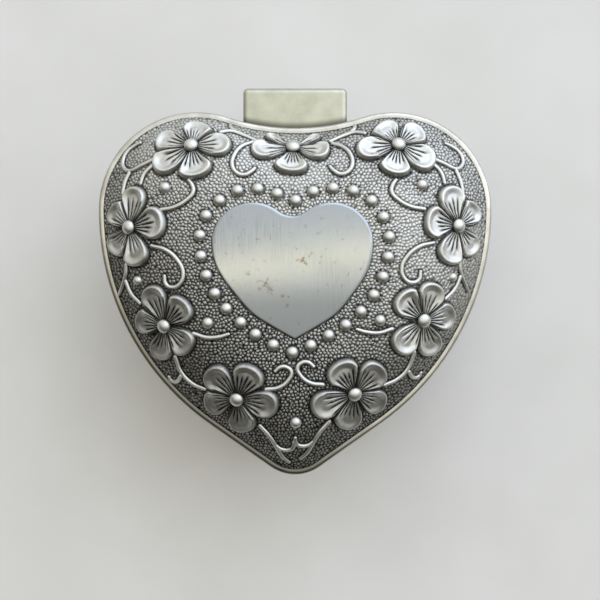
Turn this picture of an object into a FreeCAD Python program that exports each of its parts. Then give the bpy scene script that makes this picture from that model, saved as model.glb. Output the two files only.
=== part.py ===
"""Heart-shaped wind-up music box with a domed lid, a clear inner cover and an 18-note movement.

Millimetres, +Z up, Z = 0 under the foot rim, +Y towards the hinge, X across the two lobes.
The origin lies under the middle of the box that holds heart and hinge tab.
"""
import FreeCAD, Part
import math
import os

from FreeCAD import Vector

# Heart outline of the lid rim
LID_WIDTH = 88.2
HEART_LENGTH = 81.3
CLEFT_DEPTH = 3.5
TIP_RADIUS = 9.5
TIP_ANGLE = 110.0

# Hinge tab, knuckles and pin
HINGE_REACH = 5.8
TAB_WIDTH = 23.5
TAB_THICKNESS = 2.0
TAB_BELOW_RIM = 1.2
TAB_CORNER = 1.4
KNUCKLE_RADIUS = 2.0
KNUCKLE_GAP = 0.4
MIDDLE_KNUCKLE = 10.0
TAIL_DROP = 1.4
PIN_RADIUS = 0.8
RUN_CLEARANCE = 0.05

# Base shell, its steps and its mouldings
BASE_HEIGHT = 38.0
BASE_SETBACK = 1.4
FOOT_HEIGHT = 3.0
SHOULDER_HEIGHT = 2.4
MOULDING_PROUD = 0.8
WALL = 1.8
LEDGE = 1.4
LIP_THICKNESS = 0.8
LIP_HEIGHT = 1.2
FIT_GAP = 0.15
HOLE_ROOM = 0.2
KEY_ROOM = 9.0
PLATE_THICKNESS = 2.0
COVER_THICKNESS = 2.0
COVER_DEPTH = 5.0
BOSS_RADIUS = 3.2
BOSS_HEIGHT = 10.0
BOSS_FROM_SIDE = 6.8
BOSS_FROM_TIP = 7.2

# Lid shell and its dome
RIM_HEIGHT = 4.4
RIM_WIDTH = 1.3
RIM_ROUND = 0.9
GROUND_STEP = 0.6
DOME_RISE = 10.0
DOME_FROM_LOBES = 15.0
DOME_POWER = 4.5
LID_WALL = 2.0
SOCKET_DEPTH = 2.4
SOCKET_GAP = 0.3
LINING_THICKNESS = 0.8
LINING_GAP = 0.2

# Raised heart plaque and the bead border round it
PLAQUE_WIDTH = 34.0
PLAQUE_LENGTH = 29.0
PLAQUE_CLEFT = 2.9
PLAQUE_TIP_RADIUS = 0.6
PLAQUE_TIP_ANGLE = 121.0
PLAQUE_BACK = 16.2
PLAQUE_HEIGHT = 1.0
PLAQUE_ROUND = 0.45
BEAD_COUNT = 28
BEAD_OFFSET = 3.0
BEAD_RADIUS = 1.3
BERRY_RADIUS = 1.1
BACK_FLOWER = 8.6
SIDE_FLOWER = 8.4
LOW_FLOWER = 8.3
TIP_FLOWER = 8.3
PETALS = 5
PETAL_HALF = 0.38
PETAL_MIDDLE = 0.57
EYE_SHARE = 0.2

# Movement: barrel, drum and comb
ARBOR_X = 13.5
ARBOR_Y = 3.85
BED_THICKNESS = 2.5
BED_MARGIN = 1.5
BED_LAND = 1.0
BED_CORNER = 1.2
SIDE_GAP = 0.4
HOUSING_RADIUS = 11.0
HOUSING_HEIGHT = 12.0
HOUSING_WALL = 0.8
HUB_GAP = 0.4
ARBOR_RADIUS = 1.6
ARBOR_ROOM = 0.6
HUB_RADIUS = 2.8
SPRING_STRIP = 0.35
SPRING_SIDE_GAP = 1.0
SPRING_TURNS = 6
CROWN_TEETH = 30
CROWN_MODULE = 0.88
CROWN_FACE = 2.2
CROWN_DISC = 1.2
WHEEL_BOSS = 0.5
WHEEL_WALL = 1.6
WASHER = 0.5
CLIP = 0.6
STEM_END = 0.3
CROWN_PINION_TEETH = 12
TOOTH_END = 0.1
AXLE_HEIGHT = 20.7
AXLE_RADIUS = 1.0
DRUM_RADIUS = 6.2
DRUM_WALL = 1.0
DRUM_LENGTH = 16.0
PIN_HEIGHT = 0.6
PIN_SIDE = 0.36
PINS_PER_NOTE = 4
BRACKET_HALF = 2.6
BRACKET_FOOT = 4.6
BRACKET_SCREW_BACK = 9.6
NOTES = 18
COMB_GAP = 0.25
COMB_SLOT = 0.24
TOOTH_LENGTH = 9.4
TOOTH_THICKNESS = 0.7
COMB_BAR_DEPTH = 6.0
COMB_BAR_THICKNESS = 1.6
COMB_INSET = 0.5
COMB_SCREW_IN = 2.6
COMB_SLANT = 2.4
BAR_SETBACK = 0.4
COMB_GRIP = 3.5

# Speed governor: two gear pairs, a worm and an air brake
DRUM_GEAR_TEETH = 38
DRUM_GEAR_MODULE = 0.45
FIRST_PINION_TEETH = 10
FIRST_WHEEL_TEETH = 30
FIRST_WHEEL_MODULE = 0.35
SECOND_PINION_TEETH = 8
WORM_WHEEL_TEETH = 20
WORM_MODULE = 0.45
WORM_PITCH_RADIUS = 1.6
FIRST_RISE_ANGLE = 15.0
SECOND_DROP_ANGLE = -35.0
GEAR_WIDTH = 1.2
SIDE_PLATE = 1.2
STAFF_RADIUS = 0.6
PIVOT_BOSS = 1.7
PIVOT_RISE = 1.2
FRAME_EDGE = 2.4
FLANGE = 1.0
EAR = 5.6
MESH_ROOM = 0.06
BACKLASH = 0.16
ADDENDUM = 0.8
DEDENDUM = 1.1
PRESSURE_ANGLE = 20.0
WORM_TURNS = 3.5
FLY_RADIUS = 4.2
FLY_BLADE = 0.4
FLY_HEIGHT = 2.4
FLY_HUB = 1.3
FLY_DISC = 0.6
FLY_HEADROOM = 1.4
BRIDGE_THICKNESS = 1.0
BRIDGE_FRONT = 2.2
BRIDGE_CORNER = 0.9

# Stop plunger under the lid
PLUNGER_X = -12.5
PLUNGER_RADIUS = 1.0
PLUNGER_TRAVEL = 2.0
ROD_HOLD = 2.0
GUIDE_WALL = 1.2
GUIDE_HEIGHT = 5.5
BUSH_WALL = 1.0
BUSH_FLANGE = 0.8
COLLAR_HEIGHT = 0.9
FINGER_GAP = 0.2
FINGER_HEIGHT = 0.8
FINGER_WIDTH = 1.4
FINGER_REACH = 0.8
SPRING_WIRE = 0.5
SPRING_PITCH = 1.1
COIL_TURNS = 3.5
COIL_ROOM = 0.6

# Winding key and screws
KEY_SPAN = 21.0
KEY_THICKNESS = 1.6
KEY_FLOOR_GAP = 1.2
KEY_HUB_WALL = 1.5
KEY_HUB_GAP = 0.8
SCREW_RADIUS = 1.2
SCREW_HEAD = 2.3
SCREW_HEAD_HEIGHT = 1.3
SMALL_SCREW = 0.9
SMALL_HEAD = 1.8
SMALL_ROOM = 0.1
SMALL_GRIP = 1.2

# Levels and places that follow from the sizes above
TIP_Y = -(HEART_LENGTH + HINGE_REACH) / 2
LOBE_TOP = TIP_Y + HEART_LENGTH
TAB_BACK = LOBE_TOP + HINGE_REACH
LOBE_LINE = LOBE_TOP - LID_WIDTH / 4
LID_HALF = LID_WIDTH / 2
SKIRT_IN = BASE_SETBACK + WALL
LEDGE_IN = SKIRT_IN + LEDGE
PLATE_TOP = KEY_ROOM + PLATE_THICKNESS
COVER_BOTTOM = BASE_HEIGHT - COVER_DEPTH - COVER_THICKNESS
RIM_TOP = BASE_HEIGHT + RIM_HEIGHT
GROUND_Z = RIM_TOP - GROUND_STEP
DOME_Y = LOBE_LINE - DOME_FROM_LOBES
LINING_TOP = BASE_HEIGHT + SOCKET_DEPTH
BED_TOP = PLATE_TOP + BED_THICKNESS
HINGE_Y = TAB_BACK - TAB_THICKNESS - KNUCKLE_GAP - KNUCKLE_RADIUS
TAB_TOP = RIM_TOP - TAB_BELOW_RIM
HINGE_Z = TAB_TOP - TAB_THICKNESS - KNUCKLE_GAP - KNUCKLE_RADIUS


class Heart:
    """Heart outline of tangent arcs and two straight runs, alike on both sides of the Y axis."""

    def __init__(self, width, lobe_top, tip, cleft, tip_radius, tip_angle):
        self.lobe_r = width / 4
        self.line = lobe_top - self.lobe_r
        self.tip_r = tip_radius
        self.tip_c = tip + tip_radius
        half_angle = math.radians(tip_angle / 2)
        self.normal = (math.cos(half_angle), -math.sin(half_angle))
        self.reach = self.normal[1] * self.tip_c + tip_radius
        self.flank_r = self.reach - self.normal[0] * width / 2 - self.normal[1] * self.line
        self.flank_r = self.flank_r / (1 - self.normal[0])
        self.flank_x = width / 2 - self.flank_r
        height = lobe_top - cleft - self.line
        self.cleft_r = height ** 2 / (2 * (self.lobe_r - height))
        self.cleft_c = self.line + height + self.cleft_r

    def half(self, offset):
        """Points of the right half from cleft to tip: ends and middles of lobe, flank and run."""
        lobe = self.lobe_r + offset
        flank = self.flank_r + offset
        tip = self.tip_r + offset
        top = math.atan2(self.cleft_c - self.line, -self.lobe_r)
        if self.cleft_r - offset < 0.1:
            top = math.acos(-self.lobe_r / lobe)
        around = math.atan2(self.normal[1], self.normal[0])
        places = [(self.lobe_r, self.line, lobe, top), (self.lobe_r, self.line, lobe, top / 2),
                  (self.lobe_r, self.line, lobe, 0), (self.flank_x, self.line, flank, around / 2),
                  (self.flank_x, self.line, flank, around)]
        points = [(x + r * math.cos(a), y + r * math.sin(a)) for x, y, r, a in places]
        if tip > 0.1:
            points.append((tip * self.normal[0], self.tip_c + tip * self.normal[1]))
        else:
            points.append((0.0, (self.reach + offset) / self.normal[1]))
        return points

    def wire(self, z, offset=0.0):
        """Closed outline at height z, moved outwards by offset."""
        right = [Vector(x, y, z) for x, y in self.half(offset)]
        left = [Vector(-p.x, p.y, z) for p in right]
        edges = []
        for side in (right, left):
            edges.append(Part.Arc(side[0], side[1], side[2]).toShape())
            edges.append(Part.Arc(side[2], side[3], side[4]).toShape())
            edges.append(Part.makeLine(side[4], side[5]))
        if right[5].x > 1e-6:
            low = Vector(0, self.tip_c - self.tip_r - offset, z)
            edges.append(Part.Arc(right[5], low, left[5]).toShape())
        if right[0].x > 1e-6:
            dip = Vector(0, self.cleft_c - self.cleft_r + offset, z)
            edges.append(Part.Arc(left[0], dip, right[0]).toShape())
        return Part.Wire(Part.__sortEdges__(edges))

    def solid(self, z0, z1, offset=0.0):
        """Straight-sided heart block between two heights."""
        return Part.Face(self.wire(z0, offset)).extrude(Vector(0, 0, z1 - z0))


LID = Heart(LID_WIDTH, LOBE_TOP, TIP_Y, CLEFT_DEPTH, TIP_RADIUS, TIP_ANGLE)
PLAQUE = Heart(PLAQUE_WIDTH, PLAQUE_BACK, PLAQUE_BACK - PLAQUE_LENGTH, PLAQUE_CLEFT,
               PLAQUE_TIP_RADIUS, PLAQUE_TIP_ANGLE)


def fuse(first, *others):
    """One solid from touching solids, with its split faces joined."""
    return first.multiFuse(list(others)).removeSplitter()


def cylinder(radius, z0, z1, x=0.0, y=0.0):
    return Part.makeCylinder(radius, z1 - z0, Vector(x, y, z0))


def ring(outer, inner, z0, z1, x=0.0, y=0.0):
    return cylinder(outer, z0, z1, x, y).cut(cylinder(inner, z0 - 1, z1 + 1, x, y))


def box(x0, x1, y0, y1, z0, z1):
    return Part.makeBox(x1 - x0, y1 - y0, z1 - z0, Vector(x0, y0, z0))


def shaft(radius, x0, x1, y, z):
    """Cylinder along X."""
    return Part.makeCylinder(radius, x1 - x0, Vector(x0, y, z), Vector(1, 0, 0))


def level_edges(shape, z):
    """Edges that lie flat at height z."""
    flat = []
    for edge in shape.Edges:
        box_of = edge.BoundBox
        if abs(box_of.ZMin - z) < 1e-4 and abs(box_of.ZMax - z) < 1e-4:
            flat.append(edge)
    return flat


def screw(x, y, under_head, length, radius, head, head_height, up=1):
    """Slotted pan-head screw; up = 1 when it is driven upwards from below."""
    z_head = under_head - up * head_height
    bottom = min(under_head, z_head)
    body = cylinder(head, bottom, bottom + head_height, x, y)
    rim = z_head
    body = body.makeChamfer(0.3 * head_height, level_edges(body, rim))
    tail = under_head + up * length
    stem = cylinder(radius, min(under_head, tail), max(under_head, tail), x, y)
    depth = 0.4 * head_height
    slot = box(x - head - 1, x + head + 1, y - 0.2 * head, y + 0.2 * head,
               min(rim, rim + up * depth), max(rim, rim + up * depth))
    return fuse(body, stem).cut(slot)


# Casing: base shell, bottom plate, floor lining, clear cover
SIDE_BOSS_X = LID_HALF - BOSS_FROM_SIDE
BOSSES = ((-SIDE_BOSS_X, LOBE_LINE), (SIDE_BOSS_X, LOBE_LINE), (0.0, TIP_Y + BOSS_FROM_TIP))


def base_block():
    """Outside of the base as one filled block: wall, foot moulding and shoulder moulding."""
    outer = LID.solid(0, BASE_HEIGHT, -BASE_SETBACK)
    proud = MOULDING_PROUD - BASE_SETBACK
    foot = LID.solid(0, FOOT_HEIGHT, proud)
    foot = foot.makeFillet(0.9 * MOULDING_PROUD, level_edges(foot, FOOT_HEIGHT))
    shoulder = LID.solid(BASE_HEIGHT - SHOULDER_HEIGHT, BASE_HEIGHT, proud)
    shoulder = shoulder.makeFillet(0.9 * MOULDING_PROUD,
                                   level_edges(shoulder, BASE_HEIGHT - SHOULDER_HEIGHT))
    return fuse(outer, foot, shoulder)


def base_shell(block):
    """Cast wall with two inner ledges, screw bosses and a lip that centres the lid."""
    lip = LID.solid(BASE_HEIGHT - LIP_HEIGHT, BASE_HEIGHT + LIP_HEIGHT, LIP_THICKNESS - SKIRT_IN)
    shell = fuse(block, lip)
    shell = shell.cut(LID.solid(-1, PLATE_TOP, -SKIRT_IN))
    shell = shell.cut(LID.solid(PLATE_TOP - 1, COVER_BOTTOM + 1, -LEDGE_IN))
    shell = shell.cut(LID.solid(COVER_BOTTOM, BASE_HEIGHT + LIP_HEIGHT + 1, -SKIRT_IN))
    inside = LID.solid(0, BASE_HEIGHT, -LEDGE_IN + LEDGE / 2)
    posts = [cylinder(BOSS_RADIUS, PLATE_TOP, PLATE_TOP + BOSS_HEIGHT, x, y).common(inside)
             for x, y in BOSSES]
    shell = fuse(shell, *posts)
    for x, y in BOSSES:
        shell = shell.cut(cylinder(SCREW_RADIUS, PLATE_TOP - 1, PLATE_TOP + 0.8 * BOSS_HEIGHT, x, y))
    return shell


def bottom_plate():
    """Flat plate that carries the movement, pushed up against the lower ledge."""
    plate = LID.solid(KEY_ROOM, PLATE_TOP, -SKIRT_IN - FIT_GAP)
    for x, y in BOSSES + MOVEMENT_SCREWS:
        plate = plate.cut(cylinder(SCREW_RADIUS + HOLE_ROOM, KEY_ROOM - 1, PLATE_TOP + 1, x, y))
    return plate.cut(cylinder(ARBOR_RADIUS + ARBOR_ROOM, KEY_ROOM - 1, PLATE_TOP + 1, ARBOR_X, ARBOR_Y))


def floor_lining():
    """Flocked card on the bottom plate, cut out round the bedplate and the bosses."""
    card = LID.solid(PLATE_TOP, PLATE_TOP + LINING_THICKNESS, -LEDGE_IN - 2 * FIT_GAP)
    under = [f for f in bed_blank().Faces if f.BoundBox.ZMax < PLATE_TOP + 1e-4][0]
    window = Part.Face(under.OuterWire.makeOffset2D(2 * FIT_GAP))
    card = card.cut(window.extrude(Vector(0, 0, LINING_THICKNESS + 1)))
    for x, y in BOSSES:
        card = card.cut(cylinder(BOSS_RADIUS + 2 * FIT_GAP, PLATE_TOP - 1, PLATE_TOP + 2, x, y))
    return card


def clear_cover():
    """Clear sheet on the upper ledge, with a hole for the plunger bush."""
    sheet = LID.solid(COVER_BOTTOM, COVER_BOTTOM + COVER_THICKNESS, -SKIRT_IN - FIT_GAP)
    return sheet.cut(cylinder(BUSH_RADIUS, COVER_BOTTOM - 1, BASE_HEIGHT, PLUNGER_X, PLUNGER_Y))


# Lid: dome shell, lining, hinge leaf and pin
DOME_STEPS = (1.0, 0.95, 0.87, 0.75, 0.6, 0.46)


def dome_height(step):
    return GROUND_Z + DOME_RISE * (1 - step ** DOME_POWER)


def dome(shrink, drop):
    """Smooth pillow through shrinking hearts of one tip radius, drawn in and let down for the inside."""
    sections = []
    for step in DOME_STEPS:
        share = step * (1 - RIM_WIDTH / LID_HALF) - shrink / LID_HALF
        back = DOME_Y + share * (LOBE_TOP - DOME_Y)
        tip = DOME_Y + share * (TIP_Y - DOME_Y)
        heart = Heart(share * LID_WIDTH, back, tip, share * CLEFT_DEPTH, TIP_RADIUS, TIP_ANGLE)
        sections.append(heart.wire(dome_height(step) - drop))
    return Part.makeLoft(sections, True, False)


def lid_block():
    """Outside of the lid as one filled block: rolled rim and dome."""
    rim = LID.solid(BASE_HEIGHT, RIM_TOP)
    rim = rim.makeFillet(RIM_ROUND, level_edges(rim, RIM_TOP))
    return fuse(rim, dome(0, 0))


def lid_shell(block):
    socket = LID.solid(BASE_HEIGHT - 1, LINING_TOP, -SKIRT_IN + LIP_THICKNESS + SOCKET_GAP)
    return block.cut(socket).cut(dome(1.1 * LID_WALL, LID_WALL))


def lid_lining():
    """Flocked card pressed into the lid's socket."""
    inset = SKIRT_IN - LIP_THICKNESS - SOCKET_GAP + FIT_GAP
    return LID.solid(LINING_TOP - LINING_THICKNESS, LINING_TOP, -inset)


def hinge_leaf():
    """Tab on the back of the lid with a turned-down tail and the middle knuckle under it."""
    half = TAB_WIDTH / 2
    tail_low = HINGE_Z - TAIL_DROP
    tab = box(-half, half, LID.line, TAB_BACK, TAB_TOP - TAB_THICKNESS, TAB_TOP)
    tail = box(-half, half, TAB_BACK - TAB_THICKNESS, TAB_BACK, tail_low, TAB_TOP)
    leaf = fuse(tab, tail)
    rear = [e for e in leaf.Edges if e.BoundBox.YMin > TAB_BACK - 1e-4]
    back = [e for e in rear if e.BoundBox.ZMin > TAB_TOP - 1e-4]
    leaf = leaf.makeFillet(TAB_CORNER, back)
    corners = [e for e in leaf.Edges if e.BoundBox.YMin > TAB_BACK - 1e-4 and e.BoundBox.ZLength > 1]
    leaf = leaf.makeFillet(0.8 * TAB_CORNER, corners)
    reach = MIDDLE_KNUCKLE / 2
    barrel = shaft(KNUCKLE_RADIUS, -reach, reach, HINGE_Y, HINGE_Z)
    web = box(-reach, reach, HINGE_Y - KNUCKLE_RADIUS, HINGE_Y + KNUCKLE_RADIUS,
              HINGE_Z, TAB_TOP - TAB_THICKNESS)
    leaf = fuse(leaf, barrel, web)
    leaf = leaf.cut(shaft(PIN_RADIUS + RUN_CLEARANCE, -half - 1, half + 1, HINGE_Y, HINGE_Z))
    return leaf.cut(LID.solid(0, RIM_TOP + 1))


def hinge_lugs(block):
    """Two knuckles on webs that stand out of the base's back wall."""
    near = MIDDLE_KNUCKLE / 2 + KNUCKLE_GAP
    far = TAB_WIDTH / 2 - KNUCKLE_GAP
    lugs = []
    for x0, x1 in ((-far, -near), (near, far)):
        barrel = shaft(KNUCKLE_RADIUS, x0, x1, HINGE_Y, HINGE_Z)
        web_top = min(HINGE_Z + KNUCKLE_RADIUS, BASE_HEIGHT - KNUCKLE_GAP)
        web = box(x0, x1, LID.line, HINGE_Y, HINGE_Z - KNUCKLE_RADIUS, web_top)
        lug = fuse(barrel, web).cut(shaft(PIN_RADIUS, x0 - 1, x1 + 1, HINGE_Y, HINGE_Z))
        lugs.append(lug.cut(block))
    return lugs


def hinge_pin():
    far = TAB_WIDTH / 2 - KNUCKLE_GAP
    return shaft(PIN_RADIUS, -far, far, HINGE_Y, HINGE_Z)


# Relief on the lid: plaque, beads, berries and flowers
FLOWERS = ((51.8, 0.807, 42.0, BACK_FLOWER), (17.0, 0.833, 33.0, SIDE_FLOWER),
           (-19.9, 0.777, -1.0, LOW_FLOWER), (-63.9, 0.768, 48.0, TIP_FLOWER))
TOP_FLOWER = (90.0, 0.860, 54.0, BACK_FLOWER)
BERRIES = ((35.0, 0.708), (-0.7, 0.828), (-28.5, 0.551))
LOW_BERRY = (-90.0, 0.721)


def plan_point(angle, step):
    """Point of the dome in plan, at an angle from its middle and a share of the way to its edge."""
    way = Vector(math.cos(math.radians(angle)), math.sin(math.radians(angle)), 0)
    middle = Vector(0, DOME_Y, 0)
    ray = Part.makeLine(middle, middle + way * LID_WIDTH)
    hit = ray.distToShape(LID.wire(0))[1][0][0]
    return middle + (hit - middle) * (step * (1 - RIM_WIDTH / LID_HALF))


def seat(block, plan):
    """Point of the lid's outside over a plan point, and the outward normal there."""
    low = Vector(plan.x, plan.y, RIM_TOP - RIM_HEIGHT / 2)
    ray = Part.makeLine(low, low + Vector(0, 0, RIM_HEIGHT + 3 * DOME_RISE))
    best = None
    for face in block.Faces:
        distance, points, info = ray.distToShape(face)
        if distance < 1e-6 and (best is None or points[0][1].z > best[0].z):
            u, v = face.Surface.parameter(points[0][1])
            best = (points[0][1], face.normalAt(u, v))
    return best


def stand(shape, place, normal, turn):
    """Turn a piece about its own axis, lean it along the normal and set it at its place."""
    shape.rotate(Vector(0, 0, 0), Vector(0, 0, 1), turn)
    lean = FreeCAD.Rotation(Vector(0, 0, 1), normal)
    shape.Placement = FreeCAD.Placement(place, lean).multiply(shape.Placement)
    return shape


def ngon(sides, radius, z, stretch=1.0, egg=0.0):
    """Closed polygon on an egg-shaped curve about the Z axis."""
    points = []
    for k in range(sides):
        a = 2 * math.pi * (k + 0.5) / sides
        width = radius * (1 + egg * math.cos(a))
        points.append(Vector(stretch * radius * math.cos(a), width * math.sin(a), z))
    return Part.makePolygon(points + points[:1])


def knob(radius, depth):
    """Faceted half bead that reaches down to depth."""
    levels = ((1.0, -depth), (1.0, 0.2), (0.78, 0.68), (0.36, 0.95))
    rings = [ngon(10, radius * r, radius * h if h > 0 else h) for r, h in levels]
    return Part.makeLoft(rings, True, True)


def petal(radius, depth):
    """Cupped petal about its own middle, broader outwards; its rim stands highest."""
    levels = ((1.0, -depth), (1.0, 0.10), (0.86, 0.17), (0.45, 0.08))
    rings = [ngon(10, PETAL_HALF * radius * r, radius * h if h > 0 else h, 1.14, 0.22) for r, h in levels]
    return Part.makeLoft(rings, True, True)


def flower(block, place, normal, turn, radius):
    """Five petals round a centre bead, each laid on the dome under its own middle."""
    depth = DOME_RISE / 3
    lean = FreeCAD.Rotation(Vector(0, 0, 1), normal)
    pieces = [stand(knob(EYE_SHARE * radius, depth), place, normal, 0)]
    for k in range(PETALS):
        way = turn + 360 * k / PETALS
        out = lean.multVec(Vector(math.cos(math.radians(way)), math.sin(math.radians(way)), 0))
        spot, outward = seat(block, place + out * (PETAL_MIDDLE * radius))
        pieces.append(stand(petal(radius, depth), spot, outward, way))
    return fuse(*pieces)


def mirrored(rows):
    """Rows of one half with their mirror images."""
    both = []
    for row in rows:
        both.append(row)
        both.append((180 - row[0], row[1]) + tuple(180 - turn for turn in row[2:3]) + row[3:])
    return both


def lid_flowers(block):
    """Flowers on the dome, trimmed where they run out over the rim."""
    inside = LID.solid(BASE_HEIGHT, RIM_TOP + 2 * DOME_RISE, -RIM_ROUND)
    blooms = []
    for angle, step, turn, radius in mirrored(FLOWERS) + [TOP_FLOWER]:
        place, normal = seat(block, plan_point(angle, step))
        bloom = flower(block, place, normal, turn, radius)
        blooms.append(bloom.common(inside).cut(block))
    return blooms


def lid_beads(block):
    """Border of beads at an even pitch round the plaque, and the loose berries."""
    border = PLAQUE.wire(0, BEAD_OFFSET)
    spots = border.discretize(Number=4 * BEAD_COUNT + 1)[:-1]
    top = min(range(len(spots)), key=lambda i: abs(spots[i].x) - spots[i].y)
    beads = []
    for k in range(BEAD_COUNT):
        place, normal = seat(block, spots[(top + 4 * k) % len(spots)])
        beads.append(stand(knob(BEAD_RADIUS, BEAD_RADIUS), place, normal, 0).cut(block))
    for angle, step in mirrored(BERRIES) + [LOW_BERRY]:
        place, normal = seat(block, plan_point(angle, step))
        beads.append(stand(knob(BERRY_RADIUS, BERRY_RADIUS), place, normal, 0).cut(block))
    return beads


def plaque(block):
    """Smooth raised heart with a soft edge, let down onto the dome."""
    top = block.BoundBox.ZMax + PLAQUE_HEIGHT
    heart = PLAQUE.solid(GROUND_Z, top)
    heart = heart.makeFillet(PLAQUE_ROUND, level_edges(heart, top))
    return heart.cut(block)


# Movement: places that follow from the gears
CROWN_RADIUS = CROWN_TEETH * CROWN_MODULE / 2
PINION_RADIUS = CROWN_PINION_TEETH * CROWN_MODULE / 2
PINION_RIGHT = ARBOR_X - CROWN_RADIUS + CROWN_FACE / 2 + TOOTH_END
PINION_LEFT = ARBOR_X - CROWN_RADIUS - CROWN_FACE / 2 - TOOTH_END
BRACKET_LEFT = PINION_LEFT - SIDE_GAP - SIDE_PLATE
DRUM_RIGHT = BRACKET_LEFT - SIDE_GAP
DRUM_LEFT = DRUM_RIGHT - DRUM_LENGTH
RIGHT_PLATE = DRUM_LEFT - SIDE_GAP - SIDE_PLATE
WORM_WHEEL_X = RIGHT_PLATE - SIDE_GAP - GEAR_WIDTH
FIRST_WHEEL_X = WORM_WHEEL_X - SIDE_GAP - GEAR_WIDTH
DRUM_GEAR_X = FIRST_WHEEL_X - SIDE_GAP - GEAR_WIDTH
LEFT_PLATE = DRUM_GEAR_X - SIDE_GAP - SIDE_PLATE
FIRST_REACH = DRUM_GEAR_MODULE * (DRUM_GEAR_TEETH + FIRST_PINION_TEETH) / 2 + MESH_ROOM
FIRST_Y = ARBOR_Y + FIRST_REACH * math.cos(math.radians(FIRST_RISE_ANGLE))
FIRST_Z = AXLE_HEIGHT + FIRST_REACH * math.sin(math.radians(FIRST_RISE_ANGLE))
SECOND_REACH = FIRST_WHEEL_MODULE * (FIRST_WHEEL_TEETH + SECOND_PINION_TEETH) / 2 + MESH_ROOM
SECOND_Y = FIRST_Y + SECOND_REACH * math.cos(math.radians(SECOND_DROP_ANGLE))
SECOND_Z = FIRST_Z + SECOND_REACH * math.sin(math.radians(SECOND_DROP_ANGLE))
WORM_WHEEL_RADIUS = WORM_MODULE * WORM_WHEEL_TEETH / 2
WORM_X = WORM_WHEEL_X + GEAR_WIDTH / 2
WORM_Y = SECOND_Y + WORM_WHEEL_RADIUS + WORM_PITCH_RADIUS + MESH_ROOM
WORM_PITCH = math.pi * WORM_MODULE
WORM_FOOT = BED_TOP + PIVOT_RISE / 4
FLY_LOW = SECOND_Z + WORM_WHEEL_RADIUS + WORM_MODULE + SIDE_GAP
FLY_TOP = FLY_LOW + FLY_HEIGHT
BRIDGE_LOW = FLY_TOP + FLY_HEADROOM
COMB_BOTTOM = AXLE_HEIGHT - TOOTH_THICKNESS / 2
COMB_TIP = ARBOR_Y - DRUM_RADIUS - PIN_HEIGHT - COMB_GAP
COMB_ROOT = COMB_TIP - TOOTH_LENGTH
COMB_FRONT = COMB_ROOT - COMB_BAR_DEPTH
COMB_LEFT = DRUM_LEFT + COMB_INSET
COMB_RIGHT = DRUM_RIGHT - COMB_INSET
COMB_SCREWS = ((COMB_LEFT + COMB_SCREW_IN, COMB_FRONT + COMB_BAR_DEPTH / 2),
               (COMB_RIGHT - COMB_SCREW_IN, COMB_FRONT + COMB_BAR_DEPTH / 2))
PLUNGER_Y = WORM_Y
GUIDE_RADIUS = PLUNGER_RADIUS + GUIDE_WALL
GUIDE_TOP = BED_TOP + GUIDE_HEIGHT
COLLAR_LOW = GUIDE_TOP + COIL_TURNS * SPRING_PITCH + SPRING_WIRE + 2 * RUN_CLEARANCE
BUSH_RADIUS = PLUNGER_RADIUS + BUSH_WALL
GOVERNOR_SCREWS = ((RIGHT_PLATE + SIDE_PLATE + EAR / 2, FIRST_Y - STAFF_RADIUS),
                   (RIGHT_PLATE + SIDE_PLATE + EAR / 2, SECOND_Y - BED_LAND))
BRACKET_SCREW = (PINION_LEFT + CROWN_DISC + HOLE_ROOM, ARBOR_Y + BRACKET_SCREW_BACK)
MOVEMENT_SCREWS = ((ARBOR_X + 10.0, ARBOR_Y - 10.2), (DRUM_LEFT - 5.0, ARBOR_Y - 12.0),
                   (PLUNGER_X - 4.6, PLUNGER_Y - 0.2))
FLANK = math.tan(math.radians(PRESSURE_ANGLE))


def tooth_half(module):
    """Half widths of a tooth at its tip and at its root."""
    pitch = math.pi * module / 4 * (1 - BACKLASH)
    return pitch - ADDENDUM * module * FLANK, pitch + 0.6 * DEDENDUM * module * FLANK


def gear(x, width, y, z, teeth, module, phase):
    """Spur gear on an axis along X; phase is the angle of one tooth from +Y towards +Z."""
    radius = module * teeth / 2
    tip_half, root_half = tooth_half(module)
    tip = radius + ADDENDUM * module
    root = radius - DEDENDUM * module
    points = []
    for k in range(teeth):
        middle = math.radians(phase) + 2 * math.pi * k / teeth
        for r, half in ((root, -root_half), (tip, -tip_half), (tip, tip_half), (root, root_half)):
            angle = middle + half / r
            points.append(Vector(x, y + r * math.cos(angle), z + r * math.sin(angle)))
    return Part.Face(Part.makePolygon(points + points[:1])).extrude(Vector(width, 0, 0))


def yz_plate(x, width, points):
    """Plate of a given thickness with its outline in the YZ plane."""
    corners = [Vector(x, y, z) for y, z in points]
    return Part.Face(Part.makePolygon(corners + corners[:1])).extrude(Vector(width, 0, 0))


def bed_outline(z):
    left = LEFT_PLATE - BED_LAND
    right = ARBOR_X + HOUSING_RADIUS + BED_MARGIN
    back = WORM_Y + FRAME_EDGE + BED_LAND
    step = PLUNGER_X + GUIDE_RADIUS + 0.8
    front = COMB_FRONT - 0.5
    shelf = ARBOR_Y - HOUSING_RADIUS - BED_MARGIN
    mid = COMB_RIGHT + 2.0
    near = ARBOR_Y + HOUSING_RADIUS + BED_MARGIN
    corners = ((left, back), (step, back), (step + 4.0, near), (right, near), (right, shelf),
               (mid, shelf), (mid, front), (COMB_LEFT - 1.6, front), (left, front + 8.0))
    points = [Vector(x, y, z) for x, y in corners]
    return Part.makePolygon(points + points[:1])


def bed_blank():
    """Bed outline with rounded corners, before its seats and holes."""
    bed = Part.Face(bed_outline(PLATE_TOP)).extrude(Vector(0, 0, BED_THICKNESS))
    upright = [e for e in bed.Edges if e.BoundBox.ZLength > BED_THICKNESS / 2]
    return bed.makeFillet(BED_CORNER, upright)


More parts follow.
